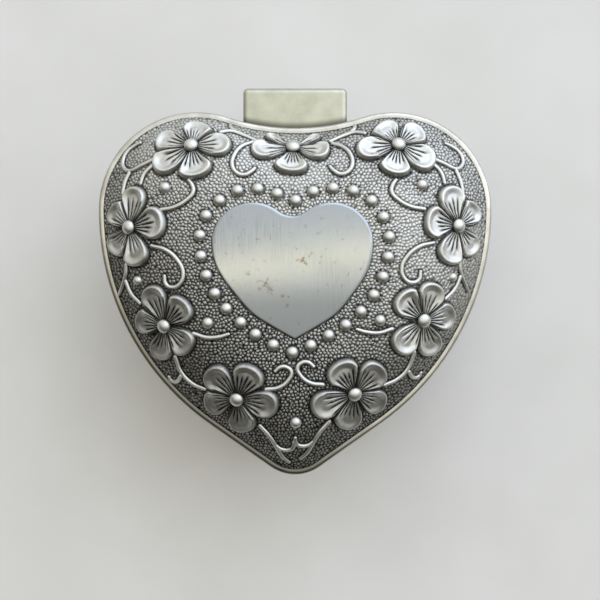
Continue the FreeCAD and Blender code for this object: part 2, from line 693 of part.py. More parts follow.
def bedplate():
    """Cast bed with the comb seat, the worm's foot bearing and a window for the drum gear."""
    bed = bed_blank()
    comb_seat = box(COMB_LEFT - COMB_INSET, COMB_RIGHT + COMB_INSET, COMB_FRONT, COMB_ROOT - BAR_SETBACK,
                    PLATE_TOP + BED_THICKNESS / 2, COMB_BOTTOM)
    foot = cylinder(PIVOT_BOSS, PLATE_TOP + BED_THICKNESS / 2, BED_TOP + PIVOT_RISE, WORM_X, WORM_Y)
    bed = fuse(bed, comb_seat, foot)
    bed = bed.cut(cylinder(STAFF_RADIUS + RUN_CLEARANCE, WORM_FOOT - 2 * RUN_CLEARANCE,
                           BED_TOP + PIVOT_RISE + 1, WORM_X, WORM_Y))
    drum_gear_tip = DRUM_GEAR_MODULE * (DRUM_GEAR_TEETH / 2 + ADDENDUM)
    chord = math.sqrt(max(drum_gear_tip ** 2 - (AXLE_HEIGHT - BED_TOP) ** 2, 1.0)) + 3 * SIDE_GAP
    bed = bed.cut(box(DRUM_GEAR_X - SIDE_GAP, DRUM_GEAR_X + GEAR_WIDTH + SIDE_GAP,
                      ARBOR_Y - chord, ARBOR_Y + chord, PLATE_TOP - 1, BED_TOP + 1))
    bed = bed.cut(cylinder(ARBOR_RADIUS + RUN_CLEARANCE, PLATE_TOP - 1, BED_TOP + 1, ARBOR_X, ARBOR_Y))
    for x, y in MOVEMENT_SCREWS:
        bed = bed.cut(cylinder(SCREW_RADIUS, PLATE_TOP - 1, PLATE_TOP + 0.8 * BED_THICKNESS, x, y))
    for x, y in COMB_SCREWS:
        bed = bed.cut(cylinder(SMALL_SCREW, COMB_BOTTOM - 1.2 * COMB_GRIP, COMB_BOTTOM + 1, x, y))
    for x, y in GOVERNOR_SCREWS + (BRACKET_SCREW,):
        bed = bed.cut(cylinder(SMALL_SCREW, BED_TOP - 1.2 * SMALL_GRIP, BED_TOP + 1, x, y))
    return bed


def spring_housing():
    """Drawn cup over the mainspring, closed below by the bed."""
    top = BED_TOP + HOUSING_HEIGHT
    cup = cylinder(HOUSING_RADIUS, BED_TOP, top, ARBOR_X, ARBOR_Y)
    cup = cup.makeFillet(HOUSING_WALL, level_edges(cup, top))
    hollow = cylinder(HOUSING_RADIUS - HOUSING_WALL, BED_TOP - 1, top - HOUSING_WALL, ARBOR_X, ARBOR_Y)
    cup = cup.cut(hollow)
    return cup.cut(cylinder(ARBOR_RADIUS + RUN_CLEARANCE, BED_TOP, top + 1, ARBOR_X, ARBOR_Y))


def mainspring():
    """Flat strip wound from the arbor hub to the housing wall, in half circles about two centres."""
    start = HUB_RADIUS + SPRING_STRIP
    end = HOUSING_RADIUS - HOUSING_WALL - SPRING_STRIP
    growth = (end - start) / SPRING_TURNS
    z = BED_TOP + SPRING_SIDE_GAP
    edges = []
    ends = {}
    for side in (-SPRING_STRIP / 2, SPRING_STRIP / 2):
        track = []
        for k in range(2 * SPRING_TURNS):
            upper = 1 if k % 2 == 0 else -1
            centre = Vector(ARBOR_X - upper * growth / 4, ARBOR_Y, z)
            r = start + growth / 4 + k * growth / 2 + side
            a = centre + Vector(upper * r, 0, 0)
            b = centre + Vector(0, upper * r, 0)
            c = centre + Vector(-upper * r, 0, 0)
            track.append(a)
            edges.append(Part.Arc(a, b, c).toShape())
        ends[side] = (track[0], c)
    inner, outer = ends.values()
    edges.append(Part.makeLine(inner[0], outer[0]))
    edges.append(Part.makeLine(inner[1], outer[1]))
    strip = Part.Face(Part.Wire(Part.__sortEdges__(edges)))
    return strip.extrude(Vector(0, 0, HOUSING_HEIGHT - HOUSING_WALL - 2 * SPRING_SIDE_GAP))


ARBOR_FOOT = KEY_FLOOR_GAP + ARBOR_ROOM
CROWN_LEVEL = AXLE_HEIGHT + PINION_RADIUS + MESH_ROOM
CROWN_ROOT = CROWN_LEVEL + DEDENDUM * CROWN_MODULE
WHEEL_TOP = CROWN_ROOT + CROWN_DISC + WHEEL_BOSS
CLIP_LOW = WHEEL_TOP + WASHER + 2 * RUN_CLEARANCE


def winding_arbor():
    ceiling = BED_TOP + HOUSING_HEIGHT - HOUSING_WALL
    hub = cylinder(HUB_RADIUS, BED_TOP + HUB_GAP, ceiling - HUB_GAP, ARBOR_X, ARBOR_Y)
    stem = cylinder(ARBOR_RADIUS, ARBOR_FOOT, CLIP_LOW + CLIP + STEM_END, ARBOR_X, ARBOR_Y)
    return fuse(hub, stem)


def winding_key():
    """Butterfly key: a bored hub with two flat pierced wings, pressed on the arbor's foot."""
    wing_r = KEY_SPAN / 7
    wing_z = KEY_FLOOR_GAP + wing_r
    half = KEY_THICKNESS / 2
    hub = cylinder(ARBOR_RADIUS + KEY_HUB_WALL, ARBOR_FOOT + HUB_GAP, KEY_ROOM - KEY_HUB_GAP,
                   ARBOR_X, ARBOR_Y)
    pieces = []
    holes = []
    for side in (-1, 1):
        x = ARBOR_X + side * (KEY_SPAN / 2 - wing_r)
        start = Vector(x, ARBOR_Y - half, wing_z)
        pieces.append(Part.makeCylinder(wing_r, KEY_THICKNESS, start, Vector(0, 1, 0)))
        before = start - Vector(0, 1, 0)
        holes.append(Part.makeCylinder(wing_r / 2, KEY_THICKNESS + 2, before, Vector(0, 1, 0)))
        pieces.append(box(min(x, ARBOR_X), max(x, ARBOR_X), ARBOR_Y - half, ARBOR_Y + half,
                          wing_z - 0.75 * wing_r, wing_z + 0.75 * wing_r))
    key = fuse(hub, *pieces)
    for hole in holes:
        key = key.cut(hole)
    return key.cut(cylinder(ARBOR_RADIUS, 0, KEY_ROOM, ARBOR_X, ARBOR_Y))


def drive_wheel():
    """Crown wheel over the housing, its teeth turned down onto the drum's pinion."""
    inner = CROWN_RADIUS - CROWN_FACE / 2
    outer = CROWN_RADIUS + CROWN_FACE / 2
    disc = cylinder(outer, CROWN_ROOT, CROWN_ROOT + CROWN_DISC, ARBOR_X, ARBOR_Y)
    hub_low = BED_TOP + HOUSING_HEIGHT + 2 * RUN_CLEARANCE
    hub = cylinder(ARBOR_RADIUS + WHEEL_WALL, hub_low, WHEEL_TOP, ARBOR_X, ARBOR_Y)
    tip_half, root_half = tooth_half(CROWN_MODULE)
    tip = CROWN_LEVEL - ADDENDUM * CROWN_MODULE
    sink = CROWN_ROOT + CROWN_DISC / 2
    teeth = []
    for k in range(CROWN_TEETH):
        outline = [Vector(inner, -root_half, sink), Vector(inner, -root_half, CROWN_ROOT),
                   Vector(inner, -tip_half, tip), Vector(inner, tip_half, tip),
                   Vector(inner, root_half, CROWN_ROOT), Vector(inner, root_half, sink)]
        face = Part.Face(Part.makePolygon(outline + outline[:1]))
        tooth = face.extrude(Vector(CROWN_FACE - TOOTH_END, 0, 0))
        tooth.rotate(Vector(0, 0, 0), Vector(0, 0, 1), 180 + 360 * k / CROWN_TEETH)
        tooth.translate(Vector(ARBOR_X, ARBOR_Y, 0))
        teeth.append(tooth)
    wheel = fuse(disc, hub, *teeth)
    return wheel.cut(cylinder(ARBOR_RADIUS + RUN_CLEARANCE, BED_TOP, WHEEL_TOP + 1, ARBOR_X, ARBOR_Y))


def clutch_washer():
    low = WHEEL_TOP + RUN_CLEARANCE
    outer = ARBOR_RADIUS + WHEEL_WALL - HOLE_ROOM
    return ring(outer, ARBOR_RADIUS + RUN_CLEARANCE, low, low + WASHER, ARBOR_X, ARBOR_Y)


def arbor_clip():
    outer = ARBOR_RADIUS + WHEEL_WALL - 2 * HOLE_ROOM
    return ring(outer, ARBOR_RADIUS, CLIP_LOW, CLIP_LOW + CLIP, ARBOR_X, ARBOR_Y)


def drum():
    """Tube with rows of pins, one row for each note of the comb."""
    tube = shaft(DRUM_RADIUS, DRUM_LEFT, DRUM_RIGHT, ARBOR_Y, AXLE_HEIGHT)
    tube = tube.cut(shaft(DRUM_RADIUS - DRUM_WALL, DRUM_LEFT - 1, DRUM_RIGHT + 1, ARBOR_Y, AXLE_HEIGHT))
    pitch = (COMB_RIGHT - COMB_LEFT) / NOTES
    half = PIN_SIDE / 2
    pins = []
    for note in range(NOTES):
        x = COMB_LEFT + (note + 0.5) * pitch
        for k in range(PINS_PER_NOTE):
            foot = DRUM_RADIUS - DRUM_WALL / 2
            pin = box(x - half, x + half, -half, half, foot, DRUM_RADIUS + PIN_HEIGHT)
            turn = 15 + 360 * k / PINS_PER_NOTE + 50 * (note * note % 7)
            pin.rotate(Vector(0, 0, 0), Vector(1, 0, 0), turn)
            pin.translate(Vector(0, ARBOR_Y, AXLE_HEIGHT))
            pins.append(pin)
    return fuse(tube, *pins)


def drum_ends():
    ends = []
    for x in (DRUM_LEFT, DRUM_RIGHT - DRUM_WALL):
        disc = shaft(DRUM_RADIUS - DRUM_WALL, x, x + DRUM_WALL, ARBOR_Y, AXLE_HEIGHT)
        ends.append(disc.cut(shaft(AXLE_RADIUS, x - 1, x + DRUM_WALL + 1, ARBOR_Y, AXLE_HEIGHT)))
    return ends


def drum_axle():
    """Steel axle with the pinion that the crown wheel drives."""
    stem = shaft(AXLE_RADIUS, LEFT_PLATE + TOOTH_END, PINION_RIGHT + 2 * TOOTH_END, ARBOR_Y, AXLE_HEIGHT)
    pinion = gear(PINION_LEFT, PINION_RIGHT - PINION_LEFT, ARBOR_Y, AXLE_HEIGHT, CROWN_PINION_TEETH,
                  CROWN_MODULE, 90 + 180 / CROWN_PINION_TEETH)
    return fuse(pinion, stem)


def drum_gear():
    wheel = gear(DRUM_GEAR_X, GEAR_WIDTH, ARBOR_Y, AXLE_HEIGHT, DRUM_GEAR_TEETH, DRUM_GEAR_MODULE,
                 FIRST_RISE_ANGLE)
    return wheel.cut(shaft(AXLE_RADIUS, LEFT_PLATE, RIGHT_PLATE, ARBOR_Y, AXLE_HEIGHT))


def drum_bracket():
    """Stamped bearing plate with a foot that is screwed to the bed."""
    back = BRACKET_SCREW[1] + BRACKET_FOOT / 2
    top = AXLE_HEIGHT + AXLE_RADIUS + BRACKET_HALF
    outline = ((ARBOR_Y - 1.3 * BRACKET_HALF, BED_TOP), (ARBOR_Y - BRACKET_HALF, top),
               (ARBOR_Y + BRACKET_HALF, top), (back, BED_TOP + SIDE_PLATE), (back, BED_TOP))
    plate = yz_plate(BRACKET_LEFT, SIDE_PLATE, outline)
    foot = box(BRACKET_LEFT, BRACKET_SCREW[0] + BRACKET_FOOT / 2, back - BRACKET_FOOT, back,
               BED_TOP, BED_TOP + SIDE_PLATE)
    bracket = fuse(plate, foot)
    bracket = bracket.cut(cylinder(SMALL_SCREW + SMALL_ROOM, BED_TOP - 1, BED_TOP + 4, *BRACKET_SCREW))
    return bracket.cut(shaft(AXLE_RADIUS + RUN_CLEARANCE, DRUM_LEFT, PINION_RIGHT, ARBOR_Y, AXLE_HEIGHT))


def comb():
    """Tuned steel comb: a thick bar and one tapering row of teeth, longer towards the low notes."""
    pitch = (COMB_RIGHT - COMB_LEFT) / NOTES
    points = [Vector(COMB_LEFT, COMB_FRONT, COMB_BOTTOM)]
    for note in range(NOTES):
        x0 = COMB_LEFT + note * pitch
        root = COMB_ROOT + COMB_SLANT * note / NOTES
        inset = COMB_SLOT / 2
        points.append(Vector(x0 + inset, root, COMB_BOTTOM))
        points.append(Vector(x0 + inset, COMB_TIP, COMB_BOTTOM))
        points.append(Vector(x0 + pitch - inset, COMB_TIP, COMB_BOTTOM))
        points.append(Vector(x0 + pitch - inset, root, COMB_BOTTOM))
    points.append(Vector(COMB_RIGHT, COMB_FRONT, COMB_BOTTOM))
    teeth = Part.Face(Part.makePolygon(points + points[:1])).extrude(Vector(0, 0, TOOTH_THICKNESS))
    bar = box(COMB_LEFT, COMB_RIGHT, COMB_FRONT, COMB_ROOT - BAR_SETBACK, COMB_BOTTOM,
              COMB_BOTTOM + COMB_BAR_THICKNESS)
    plate = fuse(teeth, bar)
    for x, y in COMB_SCREWS:
        plate = plate.cut(cylinder(SMALL_SCREW + SMALL_ROOM, COMB_BOTTOM - 1, COMB_BOTTOM + 4, x, y))
    return plate


def governor_frame():
    """Two side plates on a common flange; they carry both staffs and the drum's left end."""
    top = BRIDGE_LOW
    front = FIRST_Y - BRACKET_HALF
    back = SECOND_Y + STAFF_RADIUS + BED_LAND
    end = WORM_Y + FRAME_EDGE
    left = yz_plate(LEFT_PLATE, SIDE_PLATE, ((ARBOR_Y - 3.0 * AXLE_RADIUS, BED_TOP),
                                             (ARBOR_Y - FRAME_EDGE, AXLE_HEIGHT + BRACKET_HALF),
                                             (FIRST_Y - 4.0 * AXLE_RADIUS, top), (end, top),
                                             (end, BED_TOP)))
    right = yz_plate(RIGHT_PLATE, SIDE_PLATE, ((front, BED_TOP), (front, FIRST_Z + 2.0 * AXLE_RADIUS),
                                               (FIRST_Y, top), (back, top), (back, BED_TOP)))
    flange = box(LEFT_PLATE, RIGHT_PLATE + SIDE_PLATE + EAR, front, back, BED_TOP, BED_TOP + FLANGE)
    frame = fuse(left, right, flange)
    for y, z, radius in ((ARBOR_Y, AXLE_HEIGHT, AXLE_RADIUS), (FIRST_Y, FIRST_Z, STAFF_RADIUS),
                         (SECOND_Y, SECOND_Z, STAFF_RADIUS)):
        frame = frame.cut(shaft(radius + RUN_CLEARANCE, LEFT_PLATE - 1, DRUM_LEFT, y, z))
    for x, y in GOVERNOR_SCREWS:
        frame = frame.cut(cylinder(SMALL_SCREW + SMALL_ROOM, BED_TOP - 1, BED_TOP + 4, x, y))
    return frame


def governor_bridge():
    """Top plate across the side plates, with the worm's upper bearing."""
    bridge = box(LEFT_PLATE, RIGHT_PLATE + SIDE_PLATE, SECOND_Y - BRIDGE_FRONT, WORM_Y + FRAME_EDGE,
                 BRIDGE_LOW, BRIDGE_LOW + BRIDGE_THICKNESS)
    upright = [e for e in bridge.Edges if e.BoundBox.ZLength > BRIDGE_THICKNESS / 2]
    bridge = bridge.makeFillet(BRIDGE_CORNER, upright)
    bearing = cylinder(STAFF_RADIUS + RUN_CLEARANCE, BRIDGE_LOW - 1, BRIDGE_LOW + 3, WORM_X, WORM_Y)
    return bridge.cut(bearing)


def staff(y, z):
    return shaft(STAFF_RADIUS, LEFT_PLATE + TOOTH_END, RIGHT_PLATE + SIDE_PLATE - TOOTH_END, y, z)


def first_wheel():
    wheel = gear(FIRST_WHEEL_X, GEAR_WIDTH, FIRST_Y, FIRST_Z, FIRST_WHEEL_TEETH, FIRST_WHEEL_MODULE,
                 SECOND_DROP_ANGLE)
    pinion = gear(DRUM_GEAR_X - TOOTH_END, GEAR_WIDTH + SIDE_GAP + TOOTH_END, FIRST_Y, FIRST_Z,
                  FIRST_PINION_TEETH, DRUM_GEAR_MODULE, FIRST_RISE_ANGLE + 180 + 180 / FIRST_PINION_TEETH)
    return fuse(wheel, pinion, staff(FIRST_Y, FIRST_Z))


def worm_wheel():
    wheel = gear(WORM_WHEEL_X, GEAR_WIDTH, SECOND_Y, SECOND_Z, WORM_WHEEL_TEETH, WORM_MODULE,
                 180 / WORM_WHEEL_TEETH)
    pinion = gear(FIRST_WHEEL_X - TOOTH_END, GEAR_WIDTH + SIDE_GAP + TOOTH_END, SECOND_Y, SECOND_Z,
                  SECOND_PINION_TEETH, FIRST_WHEEL_MODULE,
                  SECOND_DROP_ANGLE + 180 + 180 / SECOND_PINION_TEETH)
    return fuse(wheel, pinion, staff(SECOND_Y, SECOND_Z))


def worm():
    """One-start worm cut on the fly's staff."""
    core = WORM_PITCH_RADIUS - 1.2 * WORM_MODULE
    tip = WORM_PITCH_RADIUS + ADDENDUM * WORM_MODULE
    length = WORM_TURNS * WORM_PITCH
    start = SECOND_Z - length / 2
    helix = Part.makeHelix(WORM_PITCH, length, core)
    root_half = 0.24 * WORM_PITCH
    tip_half = 0.08 * WORM_PITCH
    sunk = core - 0.45 * WORM_MODULE
    outline = [Vector(sunk, 0, -root_half), Vector(tip, 0, -tip_half), Vector(tip, 0, tip_half),
               Vector(sunk, 0, root_half)]
    thread = Part.Wire(helix).makePipeShell([Part.makePolygon(outline + outline[:1])], True, True)
    thread.translate(Vector(WORM_X, WORM_Y, start))
    body = cylinder(core, start - WORM_PITCH / 2, start + length + WORM_PITCH / 2, WORM_X, WORM_Y)
    stem = cylinder(STAFF_RADIUS, WORM_FOOT, BRIDGE_LOW + BRIDGE_THICKNESS - TOOTH_END, WORM_X, WORM_Y)
    return fuse(body, thread, stem)


def governor_fly():
    """Air brake: two vanes under a thin disc that the stop finger comes down on."""
    hub = cylinder(FLY_HUB, FLY_LOW, FLY_TOP, WORM_X, WORM_Y)
    disc = cylinder(FLY_RADIUS, FLY_TOP - FLY_DISC, FLY_TOP, WORM_X, WORM_Y)
    vane = box(WORM_X - 0.95 * FLY_RADIUS, WORM_X + 0.95 * FLY_RADIUS, WORM_Y - FLY_BLADE / 2,
               WORM_Y + FLY_BLADE / 2, FLY_LOW, FLY_TOP - FLY_DISC / 2)
    return fuse(hub, disc, vane).cut(cylinder(STAFF_RADIUS, FLY_LOW - 1, FLY_TOP + 1, WORM_X, WORM_Y))


def stop_plunger():
    """Rod under the lid with a collar for the spring and a finger over the fly."""
    top = LINING_TOP - LINING_THICKNESS - LINING_GAP
    foot = GUIDE_TOP - PLUNGER_TRAVEL - ROD_HOLD
    rod = cylinder(PLUNGER_RADIUS, foot, top, PLUNGER_X, PLUNGER_Y)
    rod = rod.makeFillet(0.6 * PLUNGER_RADIUS, level_edges(rod, top))
    collar = cylinder(GUIDE_RADIUS, COLLAR_LOW, COLLAR_LOW + COLLAR_HEIGHT, PLUNGER_X, PLUNGER_Y)
    low = FLY_TOP + FINGER_GAP
    finger = box(WORM_X + FLY_RADIUS - FINGER_REACH, PLUNGER_X, PLUNGER_Y - FINGER_WIDTH / 2,
                 PLUNGER_Y + FINGER_WIDTH / 2, low, low + FINGER_HEIGHT)
    return fuse(rod, collar, finger)


def plunger_guide():
    return ring(GUIDE_RADIUS, PLUNGER_RADIUS + RUN_CLEARANCE, BED_TOP, GUIDE_TOP, PLUNGER_X, PLUNGER_Y)


def plunger_bush():
    """Flanged bush in the clear cover that guides the rod."""
    top = COVER_BOTTOM + COVER_THICKNESS
    sleeve = cylinder(BUSH_RADIUS, COVER_BOTTOM, top + BUSH_FLANGE, PLUNGER_X, PLUNGER_Y)
    collar = cylinder(BUSH_RADIUS + BUSH_WALL, top, top + BUSH_FLANGE, PLUNGER_X, PLUNGER_Y)
    bush = fuse(sleeve, collar)
    bore = cylinder(PLUNGER_RADIUS + RUN_CLEARANCE, COVER_BOTTOM - 1, top + 2, PLUNGER_X, PLUNGER_Y)
    return bush.cut(bore)


def arc_through(start, heading, end):
    """Arc from start, leaving along heading, to end."""
    chord = end - start
    along = Vector(chord).normalize()
    side = heading - along * heading.dot(along)
    bend = math.acos(max(-1.0, min(1.0, heading.dot(along))))
    middle = (start + end) / 2 + side.normalize() * (chord.Length / 2 * math.tan(bend / 2))
    return Part.Arc(start, middle, end).toShape()


def plunger_spring():
    """Compression spring: one tube on a helix of quarter-turn biarcs."""
    radius = PLUNGER_RADIUS + COIL_ROOM
    rise = SPRING_PITCH / (2 * math.pi)
    low = GUIDE_TOP + SPRING_WIRE / 2 + RUN_CLEARANCE

    def at(turn):
        a = 2 * math.pi * turn
        place = Vector(PLUNGER_X + radius * math.cos(a), PLUNGER_Y + radius * math.sin(a), low + rise * a)
        heading = Vector(-radius * math.sin(a), radius * math.cos(a), rise).normalize()
        return place, heading

    edges = []
    quarters = round(4 * COIL_TURNS)
    for k in range(quarters):
        p0, t0 = at(k / 4)
        p1, t1 = at((k + 1) / 4)
        chord = p1 - p0
        both = t0 + t1
        spread = 2 * (1 - t0.dot(t1))
        reach = (math.sqrt(chord.dot(both) ** 2 + spread * chord.dot(chord)) - chord.dot(both)) / spread
        join = (p0 + p1 + (t0 - t1) * reach) / 2
        edges.append(arc_through(p0, t0, join))
        turned = (p1 - t1 * reach - join).normalize()
        edges.append(arc_through(join, turned, p1))
    path = Part.Wire(edges)
    start, heading = at(0)
    section = Part.Wire(Part.makeCircle(SPRING_WIRE / 2, start, heading))
    coil = path.makePipeShell([section], True, False)
    spots = [at(k / 24)[0] for k in range(round(24 * COIL_TURNS) + 1)]
    gap = min((a - b).Length for i, a in enumerate(spots) for b in spots[i + 12:]) - SPRING_WIRE
    print("plunger spring: least gap %.2f mm, volume %.3f of section times length"
          % (gap, coil.Volume / (math.pi * SPRING_WIRE ** 2 / 4 * path.Length)))
    return coil


def plate_screws():
    return [screw(x, y, KEY_ROOM, PLATE_THICKNESS + 0.6 * BOSS_HEIGHT, SCREW_RADIUS, SCREW_HEAD,
                  SCREW_HEAD_HEIGHT) for x, y in BOSSES]


def movement_screws():
    return [screw(x, y, KEY_ROOM, PLATE_THICKNESS + 0.7 * BED_THICKNESS, SCREW_RADIUS, SCREW_HEAD,
                  SCREW_HEAD_HEIGHT) for x, y in MOVEMENT_SCREWS]


def small_screws(places, under_head, length):
    return [screw(x, y, under_head, length, SMALL_SCREW, SMALL_HEAD, SCREW_HEAD_HEIGHT, -1)
            for x, y in places]


BASE = base_block()
BLOCK = lid_block()
PARTS = {
    "base_shell": base_shell(BASE),
    "bottom_plate": bottom_plate(),
    "plate_screws": plate_screws(),
    "movement_screws": movement_screws(),
    "floor_lining": floor_lining(),
    "clear_cover": clear_cover(),
    "hinge_lugs": hinge_lugs(BASE),
    "hinge_pin": hinge_pin(),
    "hinge_leaf": hinge_leaf(),
    "lid_shell": lid_shell(BLOCK),
    "lid_lining": lid_lining(),
    "lid_plaque": plaque(BLOCK),
    "lid_beads": lid_beads(BLOCK),
    "lid_flowers": lid_flowers(BLOCK),
    "bedplate": bedplate(),
    "spring_housing": spring_housing(),
    "mainspring": mainspring(),
    "winding_arbor": winding_arbor(),
    "winding_key": winding_key(),
    "drive_wheel": drive_wheel(),
    "clutch_washer": clutch_washer(),
    "arbor_clip": arbor_clip(),
    "drum": drum(),
    "drum_ends": drum_ends(),
    "drum_axle": drum_axle(),
    "drum_gear": drum_gear(),
    "drum_bracket": drum_bracket(),
    "bracket_screw": small_screws([BRACKET_SCREW], BED_TOP + SIDE_PLATE, SIDE_PLATE + SMALL_GRIP),
    "comb": comb(),
    "comb_screws": small_screws(COMB_SCREWS, COMB_BOTTOM + COMB_BAR_THICKNESS,
                                COMB_BAR_THICKNESS + COMB_GRIP),
    "governor_frame": governor_frame(),
    "governor_bridge": governor_bridge(),
    "governor_screws": small_screws(GOVERNOR_SCREWS, BED_TOP + FLANGE, FLANGE + SMALL_GRIP),
    "first_wheel": first_wheel(),
    "worm_wheel": worm_wheel(),
    "worm": worm(),
    "governor_fly": governor_fly(),
    "stop_plunger": stop_plunger(),
    "plunger_guide": plunger_guide(),
    "plunger_bush": plunger_bush(),
    "plunger_spring": plunger_spring(),
}

os.makedirs("parts", exist_ok=True)
for node, shape in PARTS.items():
    if isinstance(shape, list):
        shape = Part.makeCompound(shape)
    if not shape.isValid():
        print("not valid:", node)
    shape.exportStep("parts/%s.step" % node)
print("hinge axis y %.3f z %.3f" % (HINGE_Y, HINGE_Z))
print("arbor x %.3f y %.3f, drum axle z %.3f" % (ARBOR_X, ARBOR_Y, AXLE_HEIGHT))
print("first staff y %.3f z %.3f, second y %.3f z %.3f" % (FIRST_Y, FIRST_Z, SECOND_Y, SECOND_Z))
print("worm x %.3f y %.3f, plunger x %.3f y %.3f" % (WORM_X, WORM_Y, PLUNGER_X, PLUNGER_Y))
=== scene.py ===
import math

import bmesh
import bpy
from mathutils import Matrix, Vector, noise
from mathutils.bvhtree import BVHTree
from mathutils.kdtree import KDTree


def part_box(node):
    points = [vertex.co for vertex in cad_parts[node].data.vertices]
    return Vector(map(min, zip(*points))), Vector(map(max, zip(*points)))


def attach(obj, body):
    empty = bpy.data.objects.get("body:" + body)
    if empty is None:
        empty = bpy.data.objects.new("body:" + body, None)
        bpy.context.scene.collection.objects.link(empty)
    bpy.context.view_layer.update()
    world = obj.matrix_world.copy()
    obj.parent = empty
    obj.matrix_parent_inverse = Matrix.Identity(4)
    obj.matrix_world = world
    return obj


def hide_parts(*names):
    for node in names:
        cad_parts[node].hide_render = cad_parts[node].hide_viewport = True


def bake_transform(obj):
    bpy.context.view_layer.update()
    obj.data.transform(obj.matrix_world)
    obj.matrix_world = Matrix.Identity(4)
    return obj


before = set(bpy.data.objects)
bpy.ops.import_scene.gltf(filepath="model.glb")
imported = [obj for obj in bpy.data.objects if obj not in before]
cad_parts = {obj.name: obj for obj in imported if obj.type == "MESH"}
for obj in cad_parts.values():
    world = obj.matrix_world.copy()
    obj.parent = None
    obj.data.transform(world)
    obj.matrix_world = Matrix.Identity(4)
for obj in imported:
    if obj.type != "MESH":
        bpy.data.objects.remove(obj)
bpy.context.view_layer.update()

# Base shell: a heart-shaped wall with a foot and a plain top band, die-cast in zinc alloy and plated
# dull grey. The band between foot and top is stippled in the die, and a black wash is left between
# the grains when the casting is wiped, so that the wall reads as old pewter.
MM = 0.001


def linear(code):
    """A colour written as an sRGB hex code, as linear red, green, blue and alpha."""
    parts = [int(code[at:at + 2], 16) / 255 for at in (1, 3, 5)]
    return [c / 12.92 if c <= 0.04045 else ((c + 0.055) / 1.055) ** 2.4 for c in parts] + [1.0]


def add(tree, kind, inputs=(), stops=(), **settings):
    """Adds a node with its settings, colour stops, and sockets filled by values or by other sockets."""
    made = tree.nodes.new(kind)
    for name, value in settings.items():
        setattr(made, name, value)
    for at, (place, colour) in enumerate(stops):
        ramp = made.color_ramp.elements
        stop = ramp[at] if at < 2 else ramp.new(place)
        stop.position, stop.color = place, linear(colour)
    for name, value in dict(inputs).items():
        if isinstance(value, bpy.types.NodeSocket):
            tree.links.new(value, made.inputs[name])
        else:
            made.inputs[name].default_value = value
    return made


def finish(name, **sockets):
    """A new material with the shader's plain sockets set. Gives it, its tree, its shader and its places."""
    made = bpy.data.materials.new(name)
    made.use_nodes = True
    shader = made.node_tree.nodes["Principled BSDF"]
    for socket, value in sockets.items():
        shader.inputs[socket.replace("_", " ")].default_value = value
    return made, made.node_tree, shader, add(made.node_tree, "ShaderNodeTexCoord").outputs["Object"]


def feed(tree, shader, **nodes):
    """Links each node's first output to the shader's socket of that name."""
    for socket, node in nodes.items():
        tree.links.new(node.outputs[0], shader.inputs[socket.replace("_", " ")])


def mottle(tree, place, size, detail, roughness=0.5):
    """Adds noise with marks of about a size in mm, and gives its strength."""
    return add(tree, "ShaderNodeTexNoise", {"Vector": place, "Scale": 1 / (size * MM), "Detail": detail,
               "Roughness": roughness}).outputs["Fac"]


def spread(tree, value, low, high):
    """Adds a node that spreads a value of 0 to 1 between two others."""
    return add(tree, "ShaderNodeMapRange", {"Value": value, "To Min": low, "To Max": high})


def uneven(tree, height, strength, depth):
    """Adds the fine unevenness of a surface, of a depth in mm."""
    return add(tree, "ShaderNodeBump", {"Height": height, "Strength": strength, "Distance": depth * MM})


def dress(material, *nodes):
    """Gives CAD nodes their finish."""
    for name in nodes:
        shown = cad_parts[name]
        shown.data.materials.clear()
        shown.data.materials.append(material)


LID = (88.2, 37.75, -43.55, 3.5, 9.5, 110.0)    # mm: width, back, point, dip, the point's radius, its angle
GRAIN = 0.80            # mm from one grain of the stipple to the next
GRAIN_JITTER = 0.36     # share of that by which a grain strays
GRAIN_RISE = 0.22       # mm that a grain stands up
GRAIN_ROW = 0.866       # share of the pitch from one row of close-packed grains to the next
GRAIN_GAP, GRAIN_DOME, GRAIN_HALF = 0.34, 0.45, 0.6     # shares: flank's width, dome's fall, at this far out
WALL_SETBACK = 1.4      # mm from the lid's outline to the wall
WALL_LIFT = 0.03        # mm from the plain wall to the gaps between the grains
WALL_LOW, WALL_HIGH = 3.2, 35.4         # mm over the table
WALL_FIELD = (300, 44)  # mm, length and height of the stipple's pattern
WALL_GAP, WALL_CLOUD, WALL_TOP = 0.10, 0.08, 0.62       # shares of shine: in the gaps, in clouds, on the grains
WALL_CORNER = (0.45, 0.0, 1.6)          # as fade: share of the shine in a moulding's corner, and mm from it
CLOUD_SIZE = 9          # mm
EDGE_FADE = 0.5         # mm over which the grains sink to the skin's edge
WALL_RUNS = (72, 177, 249, 76, 22)
WALL_ROWS = 134         # cuts from its foot to its top
SHARP = 40              # degrees, past which an edge is shaded sharp


def piece(name, bm, material, body):
    """Makes a finished piece of a bmesh, shaded smooth, and hangs it on its body."""
    mesh = bpy.data.meshes.new(name)
    bm.to_mesh(mesh)
    bm.free()
    mesh.materials.append(material)
    mesh.shade_smooth()
    made = bpy.data.objects.new(name, mesh)
    bpy.context.scene.collection.objects.link(made)
    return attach(made, body) if body else made


